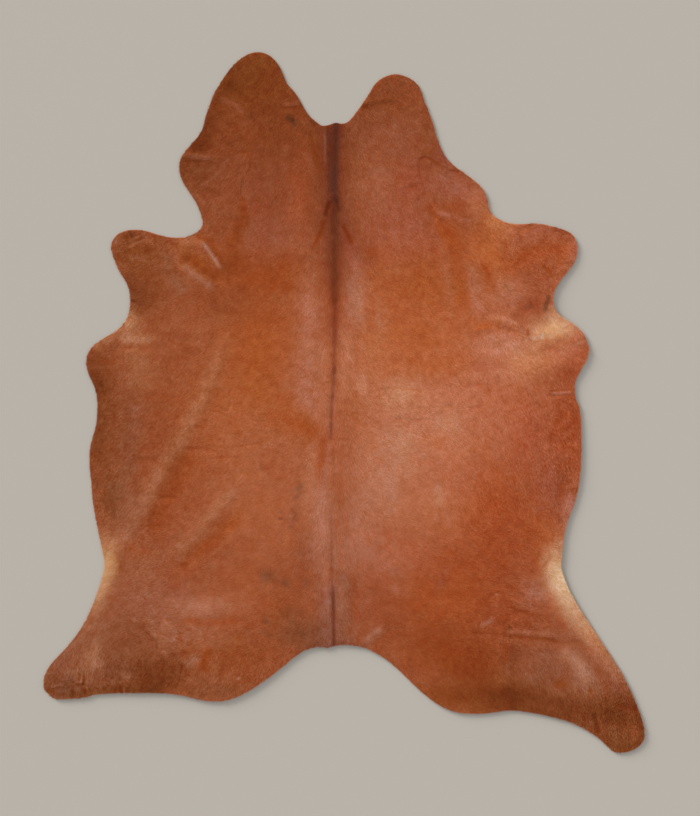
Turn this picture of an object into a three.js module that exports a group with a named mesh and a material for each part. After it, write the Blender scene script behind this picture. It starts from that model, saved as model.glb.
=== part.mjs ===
// Cowhide rug: one tanned hide with the hair left on, lying flat, hair side up.
// Millimetres. +Y runs along the spine towards the neck, +X is the right-hand
// side of the rug seen from above with the neck away from the viewer, +Z is up.
// The origin is the middle of the underside's box, on the floor.
import * as THREE from "three";

// Driving sizes
const HIDE_LENGTH = 2130; // left ear tip to right hind heel, along the spine
const PATTERN_LENGTH = 2130; // length at which the outline below was laid out
const LEATHER_THICKNESS = 2.5; // tanned skin
const COAT_DEPTH = 2.5; // short hair lying back on the skin
const STEPS_PER_SPAN = 12; // straight steps along each span of the trimmed edge

// The trimmed edge, clockwise seen from above, a row for each landmark where the
// knife changes its way round the skin. Each span leaves a landmark along its
// heading and reaches the next one along that one's heading: "before" and
// "after" say how far the edge holds the heading on either side of the landmark.
const EDGE_COLUMNS = ["landmark", "x", "y", "heading", "before", "after"];
const EDGE_ROWS = [
  // neck end
  ["left ear tip", -261, 1065, -2, 69, 67],
  ["left ear inner side", -172, 967, -44, 12, 80],
  ["neck notch, left", -72, 844, -34, 78, 12],
  ["neck nub on the spine", -30, 850, 21, 12, 12],
  ["neck notch, right", 11, 853, 31, 24, 16],
  ["right ear inner side", 82, 950, 65, 12, 45],
  ["right ear tip", 161, 998, -9, 12, 72],
  ["right ear outer side", 239, 929, -68, 12, 129],
  // right side, from the neck back
  ["right neck hollow", 302, 758, -63, 63, 54],
  ["right cheek", 423, 645, -57, 52, 44],
  ["right shoulder notch", 472, 556, -29, 57, 52],
  ["right foreleg top", 608, 541, -14, 37, 75],
  ["right foreleg end", 708, 471, -84, 50, 72],
  ["right armpit", 635, 305, -86, 74, 62],
  ["right elbow", 743, 171, -79, 85, 48],
  ["right elbow notch", 700, 45, -90, 45, 50],
  ["right belly", 720, -70, -89, 82, 316],
  ["right flank hollow", 659, -491, -93, 217, 79],
  ["right hock", 859, -850, -65, 97, 50],
  ["right hind toe", 912, -990, -78, 46, 51],
  // hind end
  ["right hind heel", 839, -1065, -179, 42, 42],
  ["right shin hollow", 700, -977, 155, 123, 29],
  ["right shin", 520, -937, 176, 60, 46],
  ["right rump", 362, -945, 174, 75, 118],
  ["right tail bay", 85, -756, 156, 103, 30],
  ["tail root", -34, -743, -164, 52, 37],
  ["left tail bay", -123, -756, -157, 66, 30],
  ["left rump", -372, -908, -176, 85, 80],
  ["left shin", -586, -883, 180, 125, 278],
  ["left hind heel", -869, -903, -178, 182, 12],
  // left side, from the hind leg forward
  ["left hind toe", -914, -855, 86, 28, 64],
  ["left hock", -806, -697, 54, 107, 62],
  ["left flank hollow", -729, -509, 80, 33, 46],
  ["left belly", -773, -177, 91, 178, 81],
  ["left elbow notch", -750, -5, 91, 105, 73],
  ["left elbow", -783, 121, 90, 51, 89],
  ["left armpit", -651, 290, 86, 100, 93],
  ["left foreleg end", -708, 466, 103, 103, 12],
  ["left foreleg top", -630, 525, -2, 77, 50],
  ["left shoulder notch", -503, 501, 0, 66, 59],
  ["left neck notch", -429, 548, 100, 12, 83],
  ["left cheek", -501, 713, 92, 63, 53],
  ["left neck hollow", -426, 844, 79, 47, 103],
];

const scale = HIDE_LENGTH / PATTERN_LENGTH;

const landmarks = EDGE_ROWS.map((row) => {
  const mark = Object.fromEntries(EDGE_COLUMNS.map((name, i) => [name, row[i]]));
  const angle = THREE.MathUtils.degToRad(mark.heading);
  const at = new THREE.Vector2(mark.x, mark.y);
  const along = new THREE.Vector2(Math.cos(angle), Math.sin(angle));
  return {
    at: at.clone().multiplyScalar(scale),
    arrive: at.clone().addScaledVector(along, -mark.before).multiplyScalar(scale),
    leave: at.clone().addScaledVector(along, mark.after).multiplyScalar(scale),
  };
});

// The knife line as one closed shape: a cubic span between neighbouring landmarks.
function trimmedEdge(marks) {
  const edge = new THREE.Shape();
  edge.moveTo(marks[0].at.x, marks[0].at.y);
  marks.forEach((from, i) => {
    const to = marks[(i + 1) % marks.length];
    edge.bezierCurveTo(
      from.leave.x, from.leave.y,
      to.arrive.x, to.arrive.y,
      to.at.x, to.at.y,
    );
  });
  return edge;
}

// Skin and coat are one body: the hair grows out of the skin.
const hideGeometry = new THREE.ExtrudeGeometry(trimmedEdge(landmarks), {
  depth: LEATHER_THICKNESS + COAT_DEPTH,
  curveSegments: STEPS_PER_SPAN,
  bevelEnabled: false,
});
hideGeometry.computeBoundingBox();
const middle = hideGeometry.boundingBox.getCenter(new THREE.Vector3());
hideGeometry.translate(-middle.x, -middle.y, 0);

const hide = new THREE.Mesh(
  hideGeometry,
  new THREE.MeshStandardMaterial({
    color: new THREE.Color().setRGB(0.55, 0.3, 0.18, THREE.SRGBColorSpace),
    roughness: 0.62,
    metalness: 0,
  }),
);
hide.name = "hide";

const rug = new THREE.Group();
rug.name = "cowhide_rug";
rug.add(hide);

export default rug;
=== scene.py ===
"""Cowhide rug: a hair-on hide lying on a floor, seen from straight above.

Metres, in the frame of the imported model: +Y along the spine towards the neck,
+X to the right, +Z up out of the hair side. Sizes in the tables are millimetres.
"""
import math
import bpy
import numpy as np
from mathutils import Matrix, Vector
from mathutils.geometry import delaunay_2d_cdt


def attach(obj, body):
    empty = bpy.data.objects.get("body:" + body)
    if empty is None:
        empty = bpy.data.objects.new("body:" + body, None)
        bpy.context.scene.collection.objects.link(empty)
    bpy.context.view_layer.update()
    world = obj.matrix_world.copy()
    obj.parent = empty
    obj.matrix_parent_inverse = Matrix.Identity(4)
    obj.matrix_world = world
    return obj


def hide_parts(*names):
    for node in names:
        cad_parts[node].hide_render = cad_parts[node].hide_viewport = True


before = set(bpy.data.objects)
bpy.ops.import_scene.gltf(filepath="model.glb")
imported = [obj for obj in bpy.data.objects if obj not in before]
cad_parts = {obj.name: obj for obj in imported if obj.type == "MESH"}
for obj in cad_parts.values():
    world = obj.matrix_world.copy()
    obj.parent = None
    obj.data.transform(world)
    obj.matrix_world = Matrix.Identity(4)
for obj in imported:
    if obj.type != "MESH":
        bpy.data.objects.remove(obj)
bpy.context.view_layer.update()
MM = 0.001

# ---------------------------------------------------------------- driving sizes
SKIN = 2.2            # thickness of the tanned skin
COAT = 2.6            # depth of the lying coat above the skin
GRID_TOP = 6.4        # mesh pitch of the hair side
GRID_UNDER = 24.0     # mesh pitch of the flesh side
EDGE_STEP = 6.0       # steps along the trimmed edge
EDGE_CURL = 1.8       # how far the trimmed edge stands off the floor on the whole
SPINE_X = -31.0       # the spine's place across the hide
HAIR_PITCH = 1.86     # distance between hair locks
HAIR_LENGTH = (5.0, 9.5)
HAIR_WIDTH = (1.4, 2.2)
OWN_LIGHT = 0.4       # share of a lock's own tilt in how it takes the light
GRAIN_SCALE = 42.0    # clouds of the fine grain to a metre
GRAIN_DEPTH = 0.75
LOCK_CHANGE = 0.2     # how far one lock differs from the next
# how much the painted shade in the small creases darkens the coat
WRINKLE_SHADE_DEPTH = 0.16

# ---------------------------------------------------------------- marks on the coat, with painted sheen, highlights and shade among them
# The coat's mean colour in display levels, and the three ways in which it changes
# from place to place: lighter, warmer (redder, less blue) and more golden. The lighter
# way carries both paler hair and painted sheen, the gloss of the hair painted into its colour.
COAT_MEAN = (150.6, 82.8, 51.1)
TONE_WAYS = ((0.637, 0.563, 0.527), (0.738, -0.247, -0.628), (-0.223, 0.789, -0.573))
# What the light takes away or adds on the lying hair, for each of red, green, blue.
COAT_GAIN = (1.38, 1.29, 1.24)
# Light passed on from hair to hair evens the colours out, so the marks are spread by this much.
COAT_SPREAD = (1.02, 1.15, 1.30)

# Soft patches: half their strength at rx, ry from the middle, turned in degrees.
TONE_COLUMNS = ("name", "x", "y", "rx", "ry", "turn", "light", "warm", "gold")
TONES = (
    ("ear left crown", -266, 996, 97, 91, 0, -27, 6, 8),
    ("ear left low", -278, 838, 128, 79, 0, -4, 3, 1),
    ("ear left edge", -400, 880, 122, 27, -118, -29, -1, 3),
    ("ear left outer", -339, 953, 36, 21, -25, -15, 4, 5),
    ("cheek left", -448, 704, 61, 49, 0, -18, -2, 2),
    ("cheek left corner", -442, 786, 36, 21, 30, -37, 6, 4),
    ("neck left", -260, 668, 109, 73, 0, 10, -2, -2),
    ("neck left low", -229, 510, 91, 61, 0, 9, -4, -3),
    ("neck left rose", -138, 643, 36, 115, 0, 17, 6, -1),
    ("ear right base", 135, 814, 115, 55, 0, 15, -4, -2),
    ("neck right", 105, 680, 91, 103, 0, 32, -2, -2),
    ("neck right rose", 178, 534, 103, 79, 0, 7, -3, -3),
    ("cheek right", 330, 656, 73, 36, -22, 25, -6, -4),
    ("leg fore left", -637, 461, 67, 49, 0, -21, -4, 4),
    ("leg fore left low", -606, 339, 55, 61, 0, -26, -2, 3),
    ("shoulder left brown", -369, 303, 115, 43, -8, -11, -2, 0),
    ("shoulder left orange", -248, 364, 85, 36, 0, -12, 8, 2),
    ("back left orange", -260, 175, 73, 128, 0, -4, 10, 3),
    ("back left orange rim", -181, 200, 24, 85, 0, 4, 2, 0),
    ("back left orange low", -296, 23, 91, 55, 0, 2, 1, 1),
    ("loin left orange", -147, -62, 73, 40, -36, -6, 9, 2),
    ("ribs left grey", -503, 114, 109, 97, 0, -6, -2, 0),
    ("ribs left brown", -564, -104, 67, 109, 20, -14, -3, 0),
    ("flank left dark", -740, -56, 40, 176, 0, -36, -5, 4),
    ("flank left cool", -655, -135, 33, 170, 0, -9, -9, 0),
    ("flank left low", -697, -299, 36, 61, 0, 2, -6, 2),
    ("back left tan", -321, -153, 134, 134, 0, 13, -5, 0),
    ("loin left tan", -217, -372, 103, 115, 0, 11, 3, 1),
    # painted sheen: the pale strips beside the spine are the gloss of the hair, painted into its colour
    ("strip left pale", -108, 172, 33, 176, 0, 23, -8, -1),
    ("strip left bright", -105, 291, 24, 61, 0, 13, -1, -1),
    ("strip left bright low", -96, -19, 33, 61, 0, 8, -2, -1),
    ("strip right pale", 35, 321, 27, 103, -4, 19, -14, -2),
    ("strip right bright", 44, 303, 18, 36, 0, 14, -3, 2),
    ("back right orange", 245, 358, 115, 61, 0, -15, 5, 4),
    ("back right orange low", 251, 200, 134, 67, 0, -11, 6, 3),
    ("back right gold", 87, 169, 61, 61, 0, 8, 0, 2),
    ("shoulder right orange", 318, 473, 91, 27, -78, 13, -7, -2),
    ("shoulder right tan", 439, 461, 46, 61, 20, 14, 11, 4),
    ("shoulder right notch", 464, 546, 43, 27, -40, 42, 3, 5),
    ("leg fore right top", 585, 516, 79, 24, 0, 13, 1, -2),
    ("leg fore right warm", 616, 455, 85, 27, 16, -4, 13, 0),
    ("leg fore right pale", 476, 339, 61, 55, 0, 27, -7, 0),
    ("leg fore right mauve", 597, 358, 36, 40, 0, -3, 1, -1),
    ("leg fore right shade", 573, 297, 36, 21, 10, -22, 5, -3),
    ("armpit right cream", 646, 224, 55, 33, 8, 67, -5, 9),
    ("armpit right cream in", 597, 206, 36, 24, 25, 41, -4, 4),
    ("chest right pale", 476, 175, 79, 40, 0, 33, -9, -1),
    ("chest right cream", 555, 121, 64, 43, 10, 38, 0, 5),
    ("elbow right", 713, 157, 27, 43, 0, 12, 4, -1),
    ("flank right rose", 676, -74, 46, 122, 0, -16, 10, -1),
    ("mid right pink", 500, -7, 91, 103, 0, 9, 4, 0),
    # painted sheen: the pale cool patches right of the centre are the gloss of the hair, painted into its colour
    ("centre right white", 178, 11, 109, 55, 0, 9, -2, 2),
    ("centre right spot", 318, -62, 55, 40, 0, 10, -6, 1),
    ("centre right low", 172, -135, 49, 67, 0, 25, -11, 2),
    ("centre right cool", 105, -268, 55, 73, 0, 23, -8, 0),
    ("centre right gold", 342, -141, 79, 36, 0, 5, 0, 1),
    ("back right brown", 26, -37, 27, 55, 0, -10, 3, 1),
    # painted sheen: the pale pink on the right loin is the gloss of the hair, painted into its colour
    ("loin right pink", 245, -335, 122, 97, 0, 19, -3, 2),
    ("loin right cool", 38, -420, 40, 79, 0, 26, -7, -1),
    ("loin right rose", 160, -469, 91, 61, 0, 19, -3, -1),
    ("flank right red", 470, -299, 73, 122, 0, -14, 8, 0),
    ("flank right red low", 451, -499, 134, 79, 0, -2, 0, 1),
    ("flank right mauve", 634, -256, 36, 79, 0, -3, -5, -3),
    ("flank right hollow", 597, -390, 43, 49, 0, 0, 4, 2),
    ("croup right orange", 287, -603, 122, 67, 0, 3, 9, 3),
    ("croup right rose", 99, -621, 67, 79, 0, -5, -2, -1),
    ("rump right olive", 306, -743, 115, 55, 0, -25, 11, 4),
    ("rump right edge", 342, -895, 103, 36, 0, -34, 7, 6),
    ("rump right dark", 415, -809, 67, 43, 0, -37, 12, 5),
    ("stifle right brown", 512, -670, 61, 43, 0, -11, 4, 0),
    ("stifle right blue", 573, -579, 43, 36, -40, 32, -16, -2),
    ("hind right blue", 610, -803, 67, 49, 0, -8, -3, 0),
    ("hind right dark", 506, -895, 79, 33, 0, -69, 7, 7),
    ("hind right shin", 701, -931, 103, 33, -8, -52, 5, 4),
    ("hind right foot", 840, -943, 55, 55, 0, -52, -1, 6),
    ("hind right toe", 847, -1034, 43, 24, 0, -28, -5, 4),
    ("hind left mid", -673, -724, 103, 55, 32, -18, 1, 0),
    ("hind left dark", -564, -834, 73, 52, 0, -62, 4, 4),
    ("hind left foot", -849, -870, 67, 33, 0, -37, -12, 1),
    ("hind left pale", -764, -767, 24, 55, -24, 35, -2, 2),
    ("stifle left cool", -600, -603, 79, 55, 0, 12, -3, -1),
    ("stifle left pale", -424, -621, 79, 30, 0, 38, -8, 0),
    ("stifle left grey", -436, -712, 73, 30, 0, 22, -2, 0),
    ("croup left", -296, -579, 103, 67, 0, 2, 6, 1),
    ("rump left", -327, -773, 109, 55, 0, -17, 8, 3),
    ("rump left edge", -357, -876, 103, 24, 0, -15, -4, 2),
    ("tail left blue", -120, -706, 61, 36, 0, -23, -11, 1),
    ("tail left grey", -187, -639, 55, 36, 0, -9, 5, 2),
    ("tail right blue", 8, -621, 24, 109, 0, -1, -15, 0),
    ("loin left cool", -71, -378, 27, 140, 0, 35, -10, -1),
    ("loin left shade", -114, -457, 21, 43, 0, 9, -6, -1),
    ("thigh left rose", -509, -548, 36, 36, 0, 2, -4, -2),
    ("thigh left cool", -625, -499, 43, 55, 0, 5, -2, 1),
    ("back right low", 257, 108, 115, 27, 0, -8, 7, 2),
    ("strip right low", 56, 90, 36, 36, 0, 11, -3, 0),
    ("loin right side", 68, -135, 36, 67, 0, 8, -1, 1),
    ("shoulder left dark", -339, 425, 27, 43, 0, -28, 11, 4),
    ("shoulder left mid", -448, 242, 103, 36, 0, 4, -1, 0),
    ("hind left edge", -874, -785, 43, 24, 35, -9, -4, 0),
    ("hind left shade", -691, -822, 49, 27, 0, -27, -3, 0),
    ("rump right brown", 330, -809, 61, 27, 0, -11, 6, 2),
    ("hind right border", 512, -773, 18, 40, 0, -21, -6, 0),
    ("flank right plum", 567, -104, 43, 79, 0, -7, 4, -3),
    ("neck left plum", -248, 595, 49, 30, 0, -6, 2, -1),
    ("neck right plum", 208, 686, 36, 67, 0, 1, 2, -3),
    ("cheek right corner", 409, 619, 27, 30, 0, 25, 0, 1),
    ("loin left brown", -418, -208, 55, 61, 0, -9, 1, 0),
    ("croup mid", -132, -542, 61, 49, 0, -12, 1, 0),
    ("flank left corner", -691, -420, 27, 27, 0, 25, -4, 2),
    # partly paler hair and partly painted sheen: the broad glow right of the centre
    ("broad centre right", 263, -86, 258, 243, 0, 40, 1, 0),
    ("broad lower right", 385, -481, 243, 213, 0, -11, 11, -1),
    ("broad upper right", 233, 309, 274, 213, 0, 18, 9, 0),
    ("broad neck", -41, 795, 395, 243, 0, -33, 1, 2),
    ("broad upper left", -345, 309, 274, 213, 0, 2, 3, 1),
    ("broad middle left", -375, -86, 243, 243, 0, 8, 10, 2),
    ("broad hind right", 658, -876, 243, 152, 0, 2, -10, 0),
    ("broad hind left", -710, -785, 243, 152, 0, 5, -9, 1),
    ("bowl left brown", -448, 418, 52, 24, -38, 4, 13, 5),
    ("shoulder right patch", 324, 595, 49, 18, 0, -11, 8, 1),
    ("cheek right shade", 312, 747, 27, 21, -45, 4, -10, -8),
    ("tail right shade", -4, -700, 15, 36, 0, -11, -1, 0),
    ("leg right brown patch", 500, 412, 24, 21, 0, -17, 6, 1),
    ("shoulder right brown top", 324, 491, 27, 43, 0, -19, 16, 4),
    ("back right spot brown", 81, 452, 24, 15, 0, -11, 8, 2),
    ("armpit left cream top", -637, 239, 21, 27, 0, 32, -6, 3),
    ("loin right fleck", 75, -469, 15, 18, 0, 1, -6, 0),
    ("loin right second fleck", 154, -512, 24, 15, 0, 1, -7, 0),
    ("croup right fleck", 166, -575, 24, 12, -15, 15, -6, -1),
    ("croup right second fleck", 299, -551, 15, 30, -15, -3, -11, -3),
    ("croup right third fleck", 68, -606, 30, 12, 0, 9, -2, -1),
    ("ribs left brown top", -552, -7, 40, 24, 0, -10, 0, 1),
    ("elbow right mid", 649, 139, 30, 27, 0, 27, 3, 0),
    ("elbow right low", 676, 90, 24, 21, 0, -23, 3, -2),
    ("chest right low", 476, 84, 49, 21, 0, 10, -6, -1),
    # painted sheen: the brightest middle of the pale patch right of the centre
    ("centre right white core", 172, 29, 43, 36, 0, 21, -7, 2),
    ("back right pale patch", 111, 248, 15, 36, 0, 6, -7, 0),
    ("strip left pale side", -141, 29, 24, 43, 0, 10, -4, -1),
    ("centre right low core", 184, -135, 21, 49, 0, -5, 3, 1),
    ("centre right spot core", 321, -68, 27, 30, 0, 13, -2, 1),
    ("loin right brown", 208, -275, 36, 36, 0, -3, 2, 0),
    ("rump left orange", -415, -788, 24, 40, 0, 9, -2, -1),
    ("blotch left patch", -232, -524, 21, 18, 0, -14, -7, -1),
    ("blotch mid patch", -187, -545, 21, 15, 0, -15, -4, 0),
    ("smudge patch", -156, -344, 15, 27, 0, 0, -10, -2),
    ("smudge upper patch", -141, -268, 18, 21, 0, 3, -6, -1),
    ("elbow right spot", 685, 166, 15, 12, 0, 28, 2, 0),
    ("loin left dusk", -120, -460, 15, 27, 0, -17, 2, 0),
    ("croup left dusk", -163, -639, 27, 18, 0, -8, -6, -1),
)

# Patches that follow the trimmed edge: reach along it, and depth in from it.
EDGE_TONE_COLUMNS = ("name", "x", "y", "reach", "depth", "light", "warm", "gold")
EDGE_TONES = (
    ("flank right cream", 658, -524, 79, 58, 109, -26, 11),
    ("flank right cream low", 713, -627, 73, 64, 54, -10, 5),
    ("flank right cream mid", 768, -712, 67, 43, 44, 0, 4),
    ("flank right cream end", 828, -822, 67, 27, 30, -3, 1),
    ("flank left cream", -731, -487, 61, 41, 68, -9, 11),
    ("flank left cream low", -743, -579, 55, 30, 45, -6, 5),
    ("flank left cream end", -783, -670, 61, 27, 6, 1, 1),
    ("armpit left cream edge", -649, 254, 43, 27, 32, -4, 3),
    ("elbow left pale", -716, 194, 43, 24, 32, -3, 2),
    ("armpit right cream edge", 637, 260, 36, 49, 38, -10, 3),
    ("elbow right cream", 695, 230, 43, 43, 27, -2, 0),
    ("leg fore right end", 707, 455, 43, 21, 19, -7, -2),
    ("hind right hem", 658, -955, 182, 18, -28, 1, 3),
    ("hind right heel", 889, -1013, 73, 18, -34, -1, 5),
    ("hind left hem edge", -710, -882, 182, 15, 5, 1, 1),
    ("tail hem", -41, -743, 103, 15, -14, -6, -1),
)

# Streaks: half width at either end, and 1 where the ends fade out.
STREAK_COLUMNS = ("name", "start", "end", "fade", "light", "warm", "gold", "along")
STREAKS = (
    ("spine neck halo", 30.4, 27.4, 0, -32, -9, -5, ((-32, 862), (-32, 598))),
    ("spine shoulder halo", 42.6, 21.3, 1, -32, -9, -3, ((-29, 598), (-29, 461), (-29, 309))),
    ("spine tail halo", 18.2, 36.5, 0, 5, -12, -2, ((-41, -572), (-47, -749))),
    ("spine edge dark", 18.2, 15.2, 1, 2, 2, 2, ((-108, 832), (-87, 765), (-74, 686))),
    ("neck left warm", 12.2, 21.3, 1, -20, 12, 4, ((-302, 607), (-311, 546), (-351, 461))),
    ("neck brown left", 36.5, 36.5, 1, -6, 6, 1, ((-314, 425), (-223, 400), (-114, 425))),
    ("cheek right warm", 12.2, 21.3, 1, -19, 10, 1, ((257, 607), (287, 564), (318, 491))),
    ("neck right brown", 24.3, 24.3, 1, -11, -1, -1, ((2, 528), (44, 455), (111, 425))),
    ("leg left edge", 24.3, 27.4, 0, -20, -3, -1, ((-655, 370), (-637, 297))),
    ("armpit left cream", 15.2, 15.2, 1, 45, -8, 3, ((-685, 187), (-625, 194), (-564, 184))),
    ("bowl left pale", 18.2, 18.2, 0, 15, -1, 2, ((-491, 482), (-460, 491))),
    ("leg left cool", 21.3, 21.3, 1, 4, -8, 0, ((-539, 461), (-521, 382), (-479, 321))),
    ("elbow left dark", 27.4, 27.4, 0, -30, 0, 2, ((-776, 108), (-752, 54))),
    ("chest left cool", 36.5, 36.5, 1, 16, -4, 2, ((-643, 187), (-618, 90), (-631, 17))),
    # painted highlight along the ridges of the two left bands, and painted shade in the hollows beside them
    ("band left", 18.2, 22.8, 1, 18, -8, 1, ((-357, 218), (-421, 35), (-485, -92), (-558, -214), (-621, -329), (-673, -439))),
    ("band left shade", 27.4, 27.4, 1, -18, 8, 2, ((-460, -135), (-515, -238), (-564, -341), (-594, -420))),
    ("band left second", 18.2, 21.3, 1, 18, -6, 1, ((-327, -244), (-397, -335), (-454, -399), (-539, -487))),
    ("band left second shade", 21.3, 21.3, 1, -8, 9, 2, ((-296, -317), (-375, -402), (-466, -475), (-539, -579))),
    ("streak left orange", 12.2, 12.2, 1, -18, 9, 0, ((-59, -92), (-71, -165), (-80, -232))),
    ("streak left pale", 18.2, 15.2, 1, 15, -2, 1, ((-83, -117), (-108, -244), (-126, -372))),
    # painted highlight along the ridges of the left stifle
    ("stifle left streaks", 15.2, 15.2, 1, 14, -2, 0, ((-600, -639), (-558, -688), (-503, -743))),
    ("belly right pale", 15.2, 15.2, 1, 20, -11, -2, ((695, -275), (676, -390))),
    # painted highlights along the ridges of the right armpit fold and the right shoulder
    ("armpit right fold pale", 7.6, 7.6, 1, 27, -5, 1, ((433, 257), (494, 254), (543, 224))),
    ("shoulder right streak", 13.7, 13.7, 1, 14, -8, -1, ((385, 437), (391, 355), (400, 297), (415, 242))),
    ("shoulder right streak two", 12.2, 12.2, 1, 12, -4, -1, ((296, 425), (315, 358), (330, 297))),
    ("shoulder right brown", 16.7, 16.7, 1, -16, 8, 2, ((333, 516), (342, 425), (360, 321), (366, 273))),
    ("shoulder right gold", 15.2, 15.2, 1, -28, 9, 1, ((430, 425), (442, 370), (451, 315))),
    ("centre right bar", 21.3, 21.3, 1, 23, -8, 1, ((35, 45), (75, 48))),
    ("croup right pale", 21.3, 21.3, 1, 9, -3, 0, ((129, -487), (166, -572))),
    # painted highlight along the arc ridge on the right hind leg
    ("hind right arc", 18.2, 21.3, 1, 41, -5, 2, ((652, -755), (713, -791), (749, -870))),
    ("hind right edge", 24.3, 24.3, 1, -6, 0, -3, ((798, -834), (853, -895), (889, -955))),
    ("hind left hem", 15.2, 15.2, 1, -42, -1, 4, ((-831, -895), (-710, -876), (-527, -876))),
    ("spine purple", 21.3, 18.2, 1, -18, -1, -2, ((-29, 352), (-29, 273), (-29, 151))),
    # painted sheen: the pale strips either side of the spine on the loin are the gloss of the hair, painted into its
    # colour
    ("spine loin left", 18.2, 18.2, 1, 14, -2, 1, ((-65, 230), (-59, 66), (-65, -80))),
    ("spine loin right", 18.2, 18.2, 1, 18, -3, 1, ((-1, 230), (2, 81), (8, -7))),
    ("strip right upper", 15.2, 24.3, 1, 5, -1, -2, ((8, 497), (23, 455), (38, 400))),
    ("spine croup right", 18.2, 18.2, 1, 12, 1, 0, ((2, -436), (2, -527))),
    ("spine neck right", 12.2, 12.2, 1, 0, 4, 2, ((-7, 811), (-7, 628))),
    ("leg right brown streak", 12.2, 9.1, 1, -7, 3, 1, ((500, 400), (549, 449), (616, 491), (649, 528))),
    ("leg right orange edge", 10.6, 10.6, 1, 21, 3, 1, ((685, 491), (670, 437), (646, 394))),
    ("band left top", 12.2, 12.2, 1, 13, 0, 0, ((-354, 224), (-375, 163), (-397, 90))),
    ("tail right brown", 9.1, 9.1, 1, -10, 8, 0, ((26, -499), (32, -603), (29, -694))),
    ("tail right pale", 12.2, 12.2, 1, 7, 4, 0, ((2, -557), (5, -648), (11, -724))),
    ("flank right brown line", 12.2, 12.2, 1, -5, 3, -1, ((646, -335), (637, -405), (613, -469))),
    ("ribs left pale", 15.2, 15.2, 1, 9, -3, -1, ((-637, 11), (-628, -56), (-637, -129))),
    ("flank left blue", 15.2, 15.2, 1, -18, -3, 0, ((-704, -232), (-710, -299), (-697, -366))),
    ("armpit right fold brown", 15.2, 18.2, 1, -5, 6, 1, ((385, 224), (430, 233), (482, 227))),
    ("loin left orange core", 21.3, 18.2, 1, -21, 7, 2, ((-144, -31), (-114, -71), (-83, -110))),
    ("centre right brown band", 15.2, 15.2, 1, -3, 5, 1, ((220, -117), (275, -120), (324, -126))),
    ("centre right second band", 12.2, 12.2, 1, -2, 2, 0, ((178, -186), (233, -183), (281, -186))),
    ("loin right pale line", 12.2, 12.2, 1, 8, -4, 0, ((144, -208), (154, -284), (160, -344))),
    ("loin right brown strip", 9.1, 9.1, 1, 2, 1, 0, ((75, -314), (78, -375), (81, -420))),
)
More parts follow.
